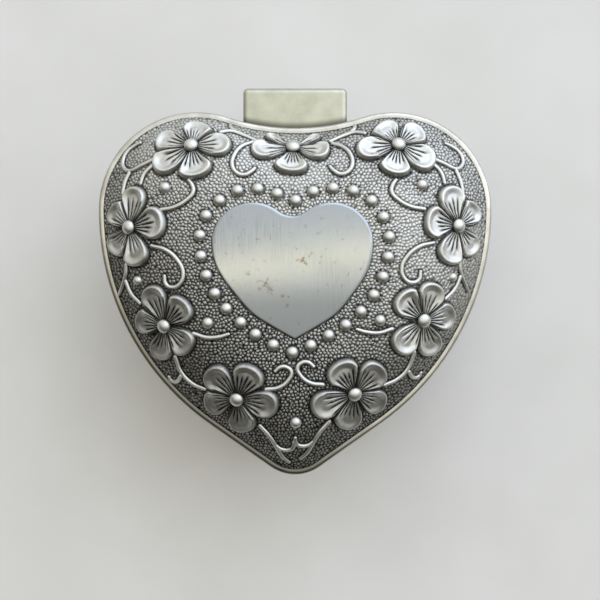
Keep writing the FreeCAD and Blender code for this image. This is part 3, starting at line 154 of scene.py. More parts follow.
def half_heart(bm, shape, offset, runs):
    """Spins the right half of a heart's outline as one chain, from the dip at its back to its point.
    The runs are its steps along the dip, the lobe, the flank, the straight and the point."""
    width, back, point, dip, point_radius, point_angle = shape
    lobe = width / 4
    line = back - lobe
    lean_x, lean_y = math.cos(math.radians(point_angle / 2)), -math.sin(math.radians(point_angle / 2))
    low = point + point_radius
    flank = (lean_y * low + point_radius - lean_x * width / 2 - lean_y * line) / (1 - lean_x)
    rise = back - dip - line
    dip_radius = rise ** 2 / (2 * (lobe - rise))
    dip_y = line + rise + dip_radius
    around = math.atan2(lean_y, lean_x)
    chain = bmesh.ops.create_vert(bm, co=(0, (dip_y - dip_radius + offset) * MM, 0))["vert"]
    for x, y, turn, steps in ((0, dip_y, math.pi / 2 + math.atan2(line - dip_y, lobe), runs[0]),
                              (lobe, line, -math.atan2(dip_y - line, -lobe), runs[1]),
                              (width / 2 - flank, line, around, runs[2])):
        chain = bmesh.ops.spin(bm, geom=chain, cent=(x * MM, y * MM, 0), axis=(0, 0, 1), angle=turn,
                               steps=steps)["geom_last"]
    here = next(v for v in chain if isinstance(v, bmesh.types.BMVert))
    step = (Vector(((point_radius + offset) * lean_x * MM, (low + (point_radius + offset) * lean_y) * MM, 0))
            - here.co) / runs[3]
    for _ in range(runs[3]):
        here = bmesh.ops.extrude_vert_indiv(bm, verts=[here])["verts"][0]
        bmesh.ops.translate(bm, vec=step, verts=[here])
    bmesh.ops.spin(bm, geom=[here], cent=(0, low * MM, 0), axis=(0, 0, 1), angle=-math.pi / 2 - around,
                   steps=runs[4])


def smooth(low, high, value):
    """A soft step from 0 at low to 1 at high."""
    at = min(1.0, max(0.0, (value - low) / (high - low)))
    return at * at * (3 - 2 * at)


def fade(least, low, high, value):
    """A share that grows softly from the least at low to the whole at high."""
    return least + (1 - least) * smooth(low, high, value)


def nearest(points):
    """A tree that finds the nearest of some points."""
    made = KDTree(len(points))
    for at, point in enumerate(points):
        made.insert(point, at)
    made.balance()
    return made


def pebbles(wide, high):
    """A tree of the middles of the grains on a stippled field of a size in mm."""
    columns, rows = int(wide / GRAIN) + 2, int(high / GRAIN / GRAIN_ROW) + 2
    middles = []
    for row in range(rows):
        for column in range(columns):
            stray = Vector((noise.random() - 0.5, noise.random() - 0.5, 0)) * 2 * GRAIN_JITTER
            spot = Vector((column - columns / 2 + row % 2 / 2, (row - rows / 2) * GRAIN_ROW, 0))
            middles.append((spot + stray) * GRAIN)
    return nearest(middles)


def on_grain(middles, x, y):
    """How far up its grain a point of a stippled field lies, from 0 in the gap to 1 on the top."""
    first, second = [found[2] / GRAIN for found in middles.find_n((x, y, 0), 2)]
    return smooth(0.0, GRAIN_GAP, second - first) * max(0.0, 1 - GRAIN_DOME * (first / GRAIN_HALF) ** 2)


# Wiped zinc casting: soft grey metal, clouded, with painted shade darkening it towards the lower left.
wiped_zinc, tree, shader, place = finish("wiped_zinc_casting", Metallic=1.0)
cloud = mottle(tree, place, 6, 6.0, 0.65)
tone = add(tree, "ShaderNodeValToRGB", {"Fac": cloud},
           [(0.30, "#B0ADA2"), (0.72, "#DAD8CD"), (0.5, "#C8C5BA")])
along = add(tree, "ShaderNodeVectorMath", {0: place, 1: (0.6, 0.8, 0.0)},
            operation="DOT_PRODUCT")
# Painted shade: the casting is darkened towards the front left.
lower_left_shade = add(tree, "ShaderNodeMapRange", {"Value": along.outputs["Value"], "From Min": -14 * MM,
              "From Max": -30 * MM, "To Max": 0.95})
shaded_casting = add(tree, "ShaderNodeMixRGB", {"Fac": lower_left_shade.outputs["Result"], "Color1": tone.outputs["Color"],
           "Color2": linear("#807D74")})
fine = mottle(tree, place, 0.35, 2.0)
dull = spread(tree, cloud, 0.42, 0.24)
relief = uneven(tree, fine, 0.25, 0.04)
feed(tree, shader, Base_Color=shaded_casting, Roughness=dull, Normal=relief)
dress(wiped_zinc, "base_shell")

# Washed zinc: black where the wash stays, bare satin metal where it is wiped; the mask painted on per vertex
# carries the wipe together with painted light and painted shade.
antique_relief, tree, shader, place = finish("wiped_relief_zinc")
wipe_and_light = add(tree, "ShaderNodeAttribute", attribute_name="wipe_and_light")
cloud = mottle(tree, place, 1.1, 5.0, 0.65)
wash = add(tree, "ShaderNodeMapRange", {"Value": cloud, "From Min": 0.3, "From Max": 0.7,
           "To Min": -0.08, "To Max": 0.08})
wiped_and_lit = add(tree, "ShaderNodeMath", {0: wipe_and_light.outputs["Fac"], 1: wash.outputs["Result"]}, operation="ADD")
tone = add(tree, "ShaderNodeValToRGB", {"Fac": wiped_and_lit.outputs["Value"]},
           [(0.0, "#080807"), (1.0, "#D6D5CF"), (0.14, "#1D1C1A"), (0.35, "#5C5A55"), (0.7, "#B4B3AD")])
bare = add(tree, "ShaderNodeMapRange", {"Value": wiped_and_lit.outputs["Value"], "From Max": 0.5, "To Min": 0.4,
           "To Max": 1.0})
dull = spread(tree, wiped_and_lit.outputs["Value"], 0.6, 0.42)
glint = add(tree, "ShaderNodeMapRange", {"Value": wiped_and_lit.outputs["Value"], "From Max": 0.5, "To Min": 0.1,
            "To Max": 0.5})
relief = uneven(tree, cloud, 0.25, 0.05)
feed(tree, shader, Base_Color=tone, Metallic=bare, Specular_IOR_Level=glint, Roughness=dull, Normal=relief)

noise.seed_set(7)
wall_grains = pebbles(*WALL_FIELD)
for hand, name in ((1, "base_stipple_right"), (-1, "base_stipple_left")):
    bm = bmesh.new()
    half_heart(bm, LID, -WALL_SETBACK, WALL_RUNS)
    here = max((v for v in bm.verts if len(v.link_edges) == 1), key=lambda v: v.co.y)
    before, walk = None, []
    while here:
        walk.append(here.co.copy())
        onward = [e.other_vert(here) for e in here.link_edges if e.other_vert(here) != before]
        before, here = here, onward[0] if onward else None
    rail = nearest(walk)
    along, outward = [0.0], []
    for at, spot in enumerate(walk):
        after = walk[min(at + 1, len(walk) - 1)]
        along.append(along[-1] + (after - spot).length / MM)
        run = after - walk[max(at - 1, 0)]
        outward.append(Vector((-run.y, run.x, 0)).normalized())
    raised = bmesh.ops.extrude_edge_only(bm, edges=bm.edges[:])["geom"]
    bmesh.ops.translate(bm, vec=(0, 0, (WALL_HIGH - WALL_LOW) * MM),
                        verts=[v for v in raised if isinstance(v, bmesh.types.BMVert)])
    upright = [e for e in bm.edges if abs(e.verts[0].co.z - e.verts[1].co.z) > MM]
    bmesh.ops.subdivide_edges(bm, edges=upright, cuts=WALL_ROWS)
    wipe_light_layer = bm.verts.layers.float.new("wipe_and_light")
    for vert in bm.verts:
        at = rail.find((vert.co.x, vert.co.y, 0))[1]
        high = vert.co.z / MM
        edge = min(high, WALL_HIGH - WALL_LOW - high)
        bump = on_grain(wall_grains, hand * along[at], high - (WALL_HIGH - WALL_LOW) / 2)
        field = noise.noise(Vector((hand * along[at], high, 0)) / CLOUD_SIZE)
        vert[wipe_light_layer] = (WALL_GAP + WALL_CLOUD * field + WALL_TOP * bump) * fade(*WALL_CORNER, edge)
        vert.co += outward[at] * (WALL_LIFT + GRAIN_RISE * bump * smooth(0.0, EDGE_FADE, edge)) * MM
        vert.co.z += WALL_LOW * MM
        vert.co.x *= hand
    bmesh.ops.recalc_face_normals(bm, faces=bm.faces)
    if sum(f.normal.dot(f.calc_center_median()) for f in bm.faces) < 0:
        bmesh.ops.reverse_faces(bm, faces=bm.faces)
    piece(name, bm, antique_relief, "base")

# Hinge lugs and pin: two plain knuckles cast on the back of the base, wiped brighter than the wall,
# and a drawn steel pin that is driven through them and through the lid's knuckle.
dress(wiped_zinc, "hinge_lugs")

# Turned steel: bright and neutral, with fine marks of drawing or turning.
bright_steel, tree, shader, place = finish("bright_turned_steel", Metallic=1.0)
draw = add(tree, "ShaderNodeMapping", {"Vector": place, "Scale": (1.0, 1.0, 6.0)})
lines = mottle(tree, draw.outputs["Vector"], 0.5, 3.0)
tone = add(tree, "ShaderNodeValToRGB", {"Fac": lines}, [(0.25, "#A8A9A9"), (0.75, "#D6D7D5")])
dull = spread(tree, lines, 0.18, 0.36)
relief = uneven(tree, lines, 0.15, 0.02)
feed(tree, shader, Base_Color=tone, Roughness=dull, Normal=relief)
dress(bright_steel, "hinge_pin")

# Bottom plate: sheet steel stamped to the heart and stove-enamelled black, held up in the base by three
# steel screws, with the movement's own screws coming down through it.
# Stove enamel: near black with a soft gloss and a slight orange peel.
black_enamel, tree, shader, place = finish("black_stove_enamel", Metallic=0.0, Coat_Weight=0.35,
                                           Coat_Roughness=0.25)
peel = mottle(tree, place, 0.7, 3.0)
tone = add(tree, "ShaderNodeValToRGB", {"Fac": peel}, [(0.3, "#141414"), (0.75, "#272624")])
dull = spread(tree, peel, 0.35, 0.55)
relief = uneven(tree, peel, 0.3, 0.04)
feed(tree, shader, Base_Color=tone, Roughness=dull, Normal=relief)
dress(black_enamel, "bottom_plate")
dress(bright_steel, "plate_screws", "movement_screws")

# Floor lining: card cut to the inside of the base round the movement and flocked with short rayon
# fibre, glued to the bottom plate. The pile softens its edges.
PILE_EDGE = 0.22        # mm of rounding at the lining's edges
CARD_MERGE = 0.004      # mm
CARD_FLAT, CARD_CORNER, CARD_SHARP = 1, 60, 50          # degrees: joined under, rounded over, shaded sharp over


def lining(node, name, body):
    """A copy of a flocked card with its loose faces joined and its edges softened by the pile."""
    bm = bmesh.new()
    bm.from_mesh(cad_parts[node].data)
    bmesh.ops.remove_doubles(bm, verts=bm.verts, dist=CARD_MERGE * MM)
    bmesh.ops.dissolve_limit(bm, angle_limit=math.radians(CARD_FLAT), verts=bm.verts, edges=bm.edges)
    edges = [e for e in bm.edges
             if len(e.link_faces) == 2 and e.calc_face_angle() > math.radians(CARD_CORNER)]
    bmesh.ops.bevel(bm, geom=edges, offset=PILE_EDGE * MM, offset_type="OFFSET", segments=3, profile=0.5,
                    affect="EDGES", material=-1, clamp_overlap=True)
    bmesh.ops.triangulate(bm, faces=bm.faces)
    made = piece(name, bm, flock, body)
    made.data.set_sharp_from_angle(angle=math.radians(CARD_SHARP))
    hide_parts(node)


# Rayon flock: deep claret without gloss, a pale sheen at its edges, and patches brushed either way.
flock, tree, shader, place = finish("claret_rayon_flock", Metallic=0.0, Roughness=0.95, Sheen_Weight=0.55,
                                    Sheen_Roughness=0.4)
shader.inputs["Sheen Tint"].default_value = linear("#D08A90")
pile = mottle(tree, place, 0.3, 3.0)
brush = mottle(tree, place, 7, 3.0)
mixed = add(tree, "ShaderNodeMath", {0: pile, 1: brush}, operation="ADD")
tone = add(tree, "ShaderNodeValToRGB", {"Fac": mixed.outputs["Value"]}, [(0.62, "#3D0C14"), (1.0, "#74202B")])
relief = uneven(tree, pile, 0.8, 0.12)
feed(tree, shader, Base_Color=tone, Normal=relief)
lining("floor_lining", "floor_flocking", "base")

# Bedplate and spring housing: the movement's bed is a zinc pressure casting left as it comes from the
# die, grey and a little mottled. The housing is drawn from bright steel sheet and riveted to the bed.
# Raw zinc casting: mid grey with flow marks, neither bright nor quite dull.
cast_bed, tree, shader, place = finish("raw_zinc_casting", Metallic=1.0)
flow = mottle(tree, place, 2.2, 6.0, 0.7)
tone = add(tree, "ShaderNodeValToRGB", {"Fac": flow}, [(0.3, "#7F807F"), (0.7, "#A9AAA8")])
dull = spread(tree, flow, 0.36, 0.6)
relief = uneven(tree, flow, 0.4, 0.06)
feed(tree, shader, Base_Color=tone, Roughness=dull, Normal=relief)
dress(cast_bed, "bedplate")
dress(bright_steel, "spring_housing")

# Mainspring: a strip of blued spring steel, coiled between the arbor and the wall of its housing. It is
# wound as half circles whose centres step to and fro across the arbor, so that the coil grows evenly.
ARBOR_X, ARBOR_Y = 13.5, 3.85           # mm
STRIP_LOW, STRIP_HIGH, STRIP_THICK = 14.5, 23.7, 0.35   # mm
COIL_START, COIL_END = 3.15, 9.85       # mm, radii
HALF_TURNS, TURN_STEPS = 12, 20         # half turns of the coil, and steps in each
STRIP_MERGE = 0.002     # mm
# Blued steel: dark blue-grey, uneven in its temper colours.
blued_steel, tree, shader, place = finish("blued_spring_steel", Metallic=1.0)
temper = mottle(tree, place, 3, 4.0)
tone = add(tree, "ShaderNodeValToRGB", {"Fac": temper},
           [(0.3, "#3E4A5C"), (0.75, "#8A8C8E"), (0.5, "#5C6674")])
dull = spread(tree, temper, 0.2, 0.4)
feed(tree, shader, Base_Color=tone, Roughness=dull)
growth = (COIL_END - COIL_START) / (HALF_TURNS / 2)
bm = bmesh.new()
bmesh.ops.create_grid(bm, x_segments=1, y_segments=1, size=0.5)
bmesh.ops.scale(bm, vec=(STRIP_THICK * MM, (STRIP_HIGH - STRIP_LOW) * MM, 1), verts=bm.verts)
bmesh.ops.rotate(bm, cent=(0, 0, 0), matrix=Matrix.Rotation(math.pi / 2, 3, "X"), verts=bm.verts)
bmesh.ops.translate(bm, vec=((ARBOR_X + COIL_START) * MM, ARBOR_Y * MM, (STRIP_LOW + STRIP_HIGH) / 2 * MM),
                    verts=bm.verts)
last = bm.verts[:] + bm.edges[:] + bm.faces[:]
for half in range(HALF_TURNS):
    centre = ARBOR_X + (growth / 4 if half % 2 else -growth / 4)
    last = bmesh.ops.spin(bm, geom=last, cent=(centre * MM, ARBOR_Y * MM, 0), axis=(0, 0, 1),
                          angle=math.pi, steps=TURN_STEPS)["geom_last"]
bmesh.ops.remove_doubles(bm, verts=bm.verts, dist=STRIP_MERGE * MM)
bmesh.ops.holes_fill(bm, edges=bm.edges, sides=4)
bmesh.ops.recalc_face_normals(bm, faces=bm.faces)
mainspring = piece("mainspring_strip", bm, blued_steel, "base")
mainspring.data.set_sharp_from_angle(angle=math.radians(SHARP))
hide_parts("mainspring")

# Winding arbor, key and clip: turned steel with a wire-drawn key whose wings are stamped, and the spring
# clip and domed washer that hold the drive wheel down on the arbor.
dress(bright_steel, "winding_arbor", "winding_key", "arbor_clip")
dress(blued_steel, "clutch_washer")

# Drive wheel and drum: sheet and tube brass. The drum is tipped with drawn pins that pluck the comb, and
# it turns on a steel axle; the wheels are stamped and their faces left with a satin grain.
# Sheet brass: warm yellow with a straight satin grain and brown patches of tarnish.
satin_brass, tree, shader, place = finish("satin_sheet_brass", Metallic=1.0)
sheet_grain = add(tree, "ShaderNodeMapping", {"Vector": place, "Scale": (1.0, 8.0, 8.0)})
lines = mottle(tree, sheet_grain.outputs["Vector"], 1.6, 4.0)
tarnish_and_shade = mottle(tree, place, 5, 5.0)
mixed = add(tree, "ShaderNodeMath", {0: lines, 1: tarnish_and_shade}, operation="ADD")
tone = add(tree, "ShaderNodeValToRGB", {"Fac": mixed.outputs["Value"]},
           [(0.6, "#A37B31"), (1.0, "#E3C378"), (0.85, "#CFA852")])
dull = spread(tree, tarnish_and_shade, 0.42, 0.18)
relief = uneven(tree, lines, 0.2, 0.03)
feed(tree, shader, Base_Color=tone, Roughness=dull, Normal=relief)
dress(satin_brass, "drive_wheel", "drum", "drum_ends", "drum_gear")
dress(bright_steel, "drum_axle", "drum_bracket", "bracket_screw")

# Comb: hardened steel plate with eighteen ground teeth, screwed to the bed by two cheese-head screws.
# The grinding leaves fine straight lines along the teeth.
# Ground steel: cool grey lines along the teeth.
ground_steel, tree, shader, place = finish("ground_comb_steel", Metallic=1.0)
along = add(tree, "ShaderNodeMapping", {"Vector": place, "Scale": (14.0, 1.0, 1.0)})
lines = mottle(tree, along.outputs["Vector"], 2.5, 4.0)
tone = add(tree, "ShaderNodeValToRGB", {"Fac": lines}, [(0.3, "#8E9092"), (0.72, "#C9CBCC")])
dull = spread(tree, lines, 0.22, 0.42)
relief = uneven(tree, lines, 0.25, 0.02)
feed(tree, shader, Base_Color=tone, Roughness=dull, Normal=relief)
dress(ground_steel, "comb")
dress(bright_steel, "comb_screws")

# Governor: a brass frame and bridge that hold two quick wheels, a steel worm and the moulded fly whose
# vanes brake on the air. The worm wheel and fly are white nylon, so that they run without noise.
FLY_OUT = 3.9           # mm, radius; a little under its plain solid's, so that it runs clear of the frame
FLY_BORE, FLY_HUB = 0.6, 1.3            # mm, radii
FLY_DISC, FLY_VANE = 0.6, 0.4           # mm, thickness
VANE_IN, VANE_OUT = 1.2, 3.7            # mm from the axis
FLY_STEPS = 64
FLY_EDGE = 0.07         # mm of rounding that the mould leaves
FLY_CORNER = 0.6        # radians, past which an edge is rounded
# Nylon: ivory white, faintly see-through, with the dull skin of the mould.
white_nylon, tree, shader, place = finish("moulded_white_nylon", Metallic=0.0, IOR=1.53,
                                          Subsurface_Weight=0.15, Subsurface_Scale=0.002)
skin = mottle(tree, place, 1.2, 3.0)
tone = add(tree, "ShaderNodeValToRGB", {"Fac": skin}, [(0.3, "#D9D5C6"), (0.7, "#ECE9DE")])
dull = spread(tree, skin, 0.38, 0.55)
feed(tree, shader, Base_Color=tone, Roughness=dull)
dress(satin_brass, "governor_frame", "governor_bridge", "first_wheel")
dress(bright_steel, "governor_screws", "worm")
dress(white_nylon, "worm_wheel")

low, high = (Vector(corner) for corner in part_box("governor_fly"))
middle = (low + high) / 2
under_disc, vane_top = high.z - FLY_DISC * MM, high.z - FLY_DISC / 2 * MM
bm = bmesh.new()
outline = [bm.verts.new((middle.x + out * MM, middle.y, height)) for out, height in (
    (FLY_BORE, low.z), (FLY_HUB, low.z), (FLY_HUB, under_disc), (FLY_OUT, under_disc), (FLY_OUT, high.z),
    (FLY_BORE, high.z))]
edges = [bm.edges.new(ends) for ends in zip(outline, outline[1:] + outline[:1])]
bmesh.ops.spin(bm, geom=outline + edges, cent=middle, axis=(0, 0, 1), angle=math.tau, steps=FLY_STEPS,
               use_merge=True)
for way in (-1, 1):
    vane = bmesh.ops.create_cube(bm, size=1.0)["verts"]
    bmesh.ops.scale(bm, vec=((VANE_OUT - VANE_IN) * MM, FLY_VANE * MM, vane_top - low.z), verts=vane)
    vane_x = middle.x + way * (VANE_OUT + VANE_IN) / 2 * MM
    bmesh.ops.translate(bm, vec=(vane_x, middle.y, (low.z + vane_top) / 2), verts=vane)
bmesh.ops.recalc_face_normals(bm, faces=bm.faces)
bmesh.ops.bevel(bm, geom=[e for e in bm.edges if e.calc_face_angle(0.0) > FLY_CORNER], offset=FLY_EDGE * MM,
                affect="EDGES", segments=2, profile=0.5, material=-1)
fly = piece("governor_fly_moulded", bm, white_nylon, "fly")
fly.data.set_sharp_from_angle(angle=math.radians(SHARP))
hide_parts("governor_fly")

# Stop plunger: a steel rod that the closed lid holds down, so that its finger stands over the fly. It
# slides in a brass guide and a nylon bush, and a coil of spring wire lifts it when the lid opens.
ROD_X, ROD_Y = -12.5, 25.996            # mm
WIRE, COIL, PITCH = 0.5, 1.6, 1.1       # mm: the wire's thickness, the coil's radius, and its rise in a turn
TURNS, COIL_STEPS, WIRE_SIDES = 3.5, 28, 10             # turns, steps in each, and sides of the wire
SPRING_LOW, SPRING_HIGH = 19.05, 23.40  # mm over the table
dress(bright_steel, "stop_plunger")
dress(satin_brass, "plunger_guide")
dress(white_nylon, "plunger_bush")
bm = bmesh.new()
start = Matrix.Translation(((ROD_X + COIL) * MM, ROD_Y * MM, (SPRING_LOW + WIRE / 2) * MM))
bmesh.ops.create_circle(bm, segments=WIRE_SIDES, radius=WIRE / 2 * MM,
                        matrix=start @ Matrix.Rotation(math.pi / 2, 4, "X"))
steps = int(TURNS * COIL_STEPS)
bmesh.ops.spin(bm, geom=bm.verts[:] + bm.edges[:], cent=(ROD_X * MM, ROD_Y * MM, 0), axis=(0, 0, 1),
               dvec=(0, 0, PITCH * TURNS / steps * MM), angle=TURNS * math.tau, steps=steps)
bmesh.ops.holes_fill(bm, edges=bm.edges, sides=WIRE_SIDES)
bmesh.ops.recalc_face_normals(bm, faces=bm.faces)
coil = piece("plunger_coil", bm, blued_steel, None)
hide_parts("plunger_spring")
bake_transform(coil)

# Inner cover: clear acrylic sheet, laser cut to the heart and dropped on the ledge of the base. It keeps
# fingers off the movement, and rings and small jewellery lie on it.
# Acrylic: clear, with a little haze from handling.
clear_acrylic, tree, shader, place = finish("clear_acrylic_sheet", Metallic=0.0, IOR=1.49,
                                            Transmission_Weight=1.0)
haze = mottle(tree, place, 8, 4.0)
dull = spread(tree, haze, 0.0, 0.05)
feed(tree, shader, Roughness=dull)
shader.inputs["Base Color"].default_value = linear("#F6F8F7")
dress(clear_acrylic, "clear_cover")

# Lid shell and hinge leaf: a domed heart cast in the same alloy as the base. Its rolled rim and the plain
# tab at the back are wiped bright; the tab is rubbed smooth and looks a little creamy.
DIP_BACK, DIP_RADIUS = 34.25, 49.2     # mm, the rim's dip in front of the tab, by which painted shade falls on it
# Rubbed zinc: creamy and even, with painted shade darkening it in the corner by the rim.
rubbed_zinc, tree, shader, place = finish("rubbed_zinc_tab", Metallic=1.0)
cloud = mottle(tree, place, 3.5, 6.0, 0.6)
tone = add(tree, "ShaderNodeValToRGB", {"Fac": cloud},
           [(0.3, "#B0AF9C"), (0.72, "#C3C2AF"), (0.5, "#BAB9A6")])
dull = spread(tree, cloud, 0.46, 0.34)
fine = mottle(tree, place, 0.4, 2.0)
relief = uneven(tree, fine, 0.2, 0.03)
spot = add(tree, "ShaderNodeSeparateXYZ", {"Vector": place})
square = add(tree, "ShaderNodeMath", {0: spot.outputs["X"], 1: spot.outputs["X"]}, operation="MULTIPLY")
curve = add(tree, "ShaderNodeMath", {0: square.outputs["Value"], 1: -1 / (2 * DIP_RADIUS * MM),
            2: spot.outputs["Y"]}, operation="MULTIPLY_ADD")
# Painted shade: the tab is darkened where it passes under the rim.
corner = add(tree, "ShaderNodeMapRange", {"Value": curve.outputs["Value"], "From Min": (DIP_BACK + 0.2) * MM,
             "From Max": (DIP_BACK + 1.9) * MM, "To Min": 0.85, "To Max": 0.0}, interpolation_type="SMOOTHSTEP")
rim_shaded = add(tree, "ShaderNodeMixRGB", {"Fac": corner.outputs["Result"], "Color1": tone.outputs["Color"],
             "Color2": linear("#4B483E")})
feed(tree, shader, Base_Color=rim_shaded, Roughness=dull, Normal=relief)
dress(wiped_zinc, "lid_shell")
dress(rubbed_zinc, "hinge_leaf")

# Lid lining: the same claret flock on thin card, glued up inside the lid.
lining("lid_lining", "lid_flocking", "lid")

# Plaque: a smooth raised heart in the middle of the lid, cast with it and left bare. It is a little
# crowned, and was brushed along the box, so that it takes the light in a band and shows old stains.
PLAQUE = (34.0, 16.2, -12.8, 2.9, 0.6, 121.0)   # as for LID
PLAQUE_TOP = 52.45      # mm over the table
PLAQUE_CROWN = 0.75     # mm that the ends lie lower than the middle
PLAQUE_SIDES = 0.2      # mm that the sides lie lower
PLAQUE_MIDDLE = 2.0     # mm from the box's middle towards the hinge
PLAQUE_RUNS = (8, 44, 40, 44, 6)
PLAQUE_ROWS = 60
PLAQUE_EDGE = 0.9       # mm over which the edge is rounded
PLAQUE_ROUND = 0.7      # mm that the edge falls
PLAQUE_SKIRT = 1.4      # mm that its wall runs on down into the dome
PLAQUE_MERGE = 0.0005   # mm
PLAQUE_SPREAD = 0.3     # mm that the rounded foot stands out past the plain solid
PLAQUE_LEAN = 0.5       # mm that the lobes lie to the left of the point
PLAQUE_PINCH = 0.085    # share by which the flanks run in, most of all PINCH_AT, over PINCH_LONG
PINCH_AT, PINCH_LONG = -4.5, 5.0
STAINS = ((-6.1, -1.2, 3.2), (1.6, 4.2, 3.0), (-10.4, 1.9, 1.6), (-1.5, -5.0, 2.2))     # mm: x, y, radius
# Brushed zinc: long fine lines that draw the light out in a band, painted shade darkening it towards the point,
# and brown stains.
brushed_plaque, tree, shader, place = finish("brushed_zinc_plaque", Metallic=1.0)
brush = add(tree, "ShaderNodeMapping", {"Vector": place, "Scale": (1.0, 0.035, 1.0)})
lines = mottle(tree, brush.outputs["Vector"], 0.28, 4.0, 0.6)
cloud = mottle(tree, place, 11, 4.0)
mixed = add(tree, "ShaderNodeMath", {0: lines, 1: cloud}, operation="ADD")
tone = add(tree, "ShaderNodeValToRGB", {"Fac": mixed.outputs["Value"]}, [(0.65, "#95999A"), (1.15, "#A4A8A9")])
spot = add(tree, "ShaderNodeSeparateXYZ", {"Vector": place})
# Painted shade: the plaque is darkened towards its point.
tarnish_and_shade = add(tree, "ShaderNodeMapRange", {"Value": spot.outputs["Y"], "From Min": 1 * MM, "From Max": -6 * MM,
              "To Max": 0.6}, interpolation_type="SMOOTHSTEP")
shaded_to_tip = add(tree, "ShaderNodeMixRGB", {"Fac": tarnish_and_shade.outputs["Result"], "Color1": tone.outputs["Color"],
             "Color2": linear("#858888")})
blot = mottle(tree, place, 1.5, 4.0, 0.65)
likely = blot
for x, y, across in STAINS:
    away = add(tree, "ShaderNodeVectorMath", {0: place, 1: (x * MM, y * MM, PLAQUE_TOP * MM)},
               operation="DISTANCE")
    near = add(tree, "ShaderNodeMapRange", {"Value": away.outputs["Value"], "From Max": across * MM,
               "To Min": 0.17, "To Max": 0.0})
    likely = add(tree, "ShaderNodeMath", {0: likely, 1: near.outputs["Result"]},
                 operation="ADD").outputs["Value"]
stain = add(tree, "ShaderNodeMapRange", {"Value": likely, "From Min": 0.62, "From Max": 0.76, "To Max": 0.75})
stained = add(tree, "ShaderNodeMixRGB", {"Fac": stain.outputs["Result"], "Color1": shaded_to_tip.outputs["Color"],
              "Color2": linear("#6F6046")})
dull = spread(tree, lines, 0.16, 0.28)
relief = uneven(tree, lines, 0.15, 0.02)
feed(tree, shader, Base_Color=stained, Roughness=dull, Normal=relief)

bm = bmesh.new()
half_heart(bm, PLAQUE, PLAQUE_SPREAD, PLAQUE_RUNS)
rim = bm.edges[:]
inner = bmesh.ops.extrude_edge_only(bm, edges=rim)["geom"]
moved = [v for v in inner if isinstance(v, bmesh.types.BMVert)]
bmesh.ops.scale(bm, vec=(0, 0, 1), verts=moved, space=Matrix.Translation((0, -PLAQUE_MIDDLE * MM, 0)))
across = [e for e in bm.edges if e not in set(rim) and not set(e.verts) <= set(moved)]
bmesh.ops.subdivide_edges(bm, edges=across, cuts=PLAQUE_ROWS)
bmesh.ops.mirror(bm, geom=bm.verts[:] + bm.edges[:] + bm.faces[:], axis="X", merge_dist=PLAQUE_MERGE * MM)
bmesh.ops.remove_doubles(bm, verts=bm.verts, dist=PLAQUE_MERGE * MM)
edge_tree = nearest([v.co.copy() for v in bm.verts if v.is_boundary])
for vert in bm.verts:
    inset = min(1.0, edge_tree.find(vert.co)[2] / MM / PLAQUE_EDGE)
    fall = (vert.co.y / MM - PLAQUE_MIDDLE) / (PLAQUE[0] / 2)
    vert.co.x *= 1 - PLAQUE_PINCH * math.exp(-((vert.co.y / MM - PINCH_AT) / PINCH_LONG) ** 2)
    vert.co.x -= PLAQUE_LEAN * smooth(PLAQUE[2], PLAQUE[1] / 2, vert.co.y / MM) * MM
    aside = vert.co.x / MM / (PLAQUE[0] / 2)
    vert.co.z = (PLAQUE_TOP - PLAQUE_CROWN * fall ** 2 - PLAQUE_SIDES * aside ** 2
                 - PLAQUE_ROUND * (1 - math.sqrt(1 - (1 - inset) ** 2))) * MM
skirt = bmesh.ops.extrude_edge_only(bm, edges=[e for e in bm.edges if e.is_boundary])["geom"]
bmesh.ops.translate(bm, vec=(0, 0, -PLAQUE_SKIRT * MM),
                    verts=[v for v in skirt if isinstance(v, bmesh.types.BMVert)])
bmesh.ops.recalc_face_normals(bm, faces=bm.faces)
plaque = piece("lid_plaque_brushed", bm, brushed_plaque, "lid")
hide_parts("lid_plaque")

# Beads and berries: round grains cast on the lid, twenty-eight in a border round the plaque and single
# ones among the vines. Their tops are wiped bright and the black wash stays at their feet.
# Each stands on its plain solid, up to 0.4 mm off the even pitch, as cast beads do.
BEAD, BERRY, SMALL_BERRY = 1.46, 1.38, 1.15         # mm, radius
BEAD_TOP = 0.82         # share of its radius that a bead's top stands over the ground
BEAD_WIPE = (0.3, 0.05, 0.45)           # as fade: share of the shine at its foot, and shares of its radius
BEADS = (
    (0.16, 16.57), (3.88, 18.49), (8.07, 19.22), (12.35, 18.63), (16.21, 16.52), (18.69, 13.06), (19.90, 8.94),
    (19.65, 4.65), (18.56, 0.49), (16.64, -3.37), (13.95, -6.82), (10.73, -9.66), (7.14, -11.86),
    (3.39, -13.98), (-0.50, -15.45), (-4.56, -13.88), (-8.31, -11.65), (-11.43, -9.13), (-14.48, -6.21),
    (-16.88, -3.02), (-18.68, 0.77), (-19.82, 4.86), (-20.06, 9.21), (-18.72, 13.37), (-15.89, 16.59),
    (-12.12, 18.69), (-7.85, 19.07), (-3.75, 18.04))
BERRIES = ((-27.66, 19.59), (-18.41, -9.24), (0.21, -30.51), (18.04, -8.69), (27.12, 20.13))
SMALL_BERRIES = ((-33.91, -0.12), (34.07, 0.59))
BALL = {"u_segments": 28, "v_segments": 18}
BALL_MARKS = 10         # points round a bead's foot
ABOVE, RIM_TOP = 0.09, 0.042            # m, over the whole box, and the ground's height past the lid's edge
relief_edge = []        # points along the foot of all the relief, for the wash on the ground


def seat(x, y):
    """The height of the lid's ground at a point, in metres."""
    hit = lid_tree.ray_cast(Vector((x, y, ABOVE)), Vector((0, 0, -1)))[0]
    return hit.z if hit else RIM_TOP


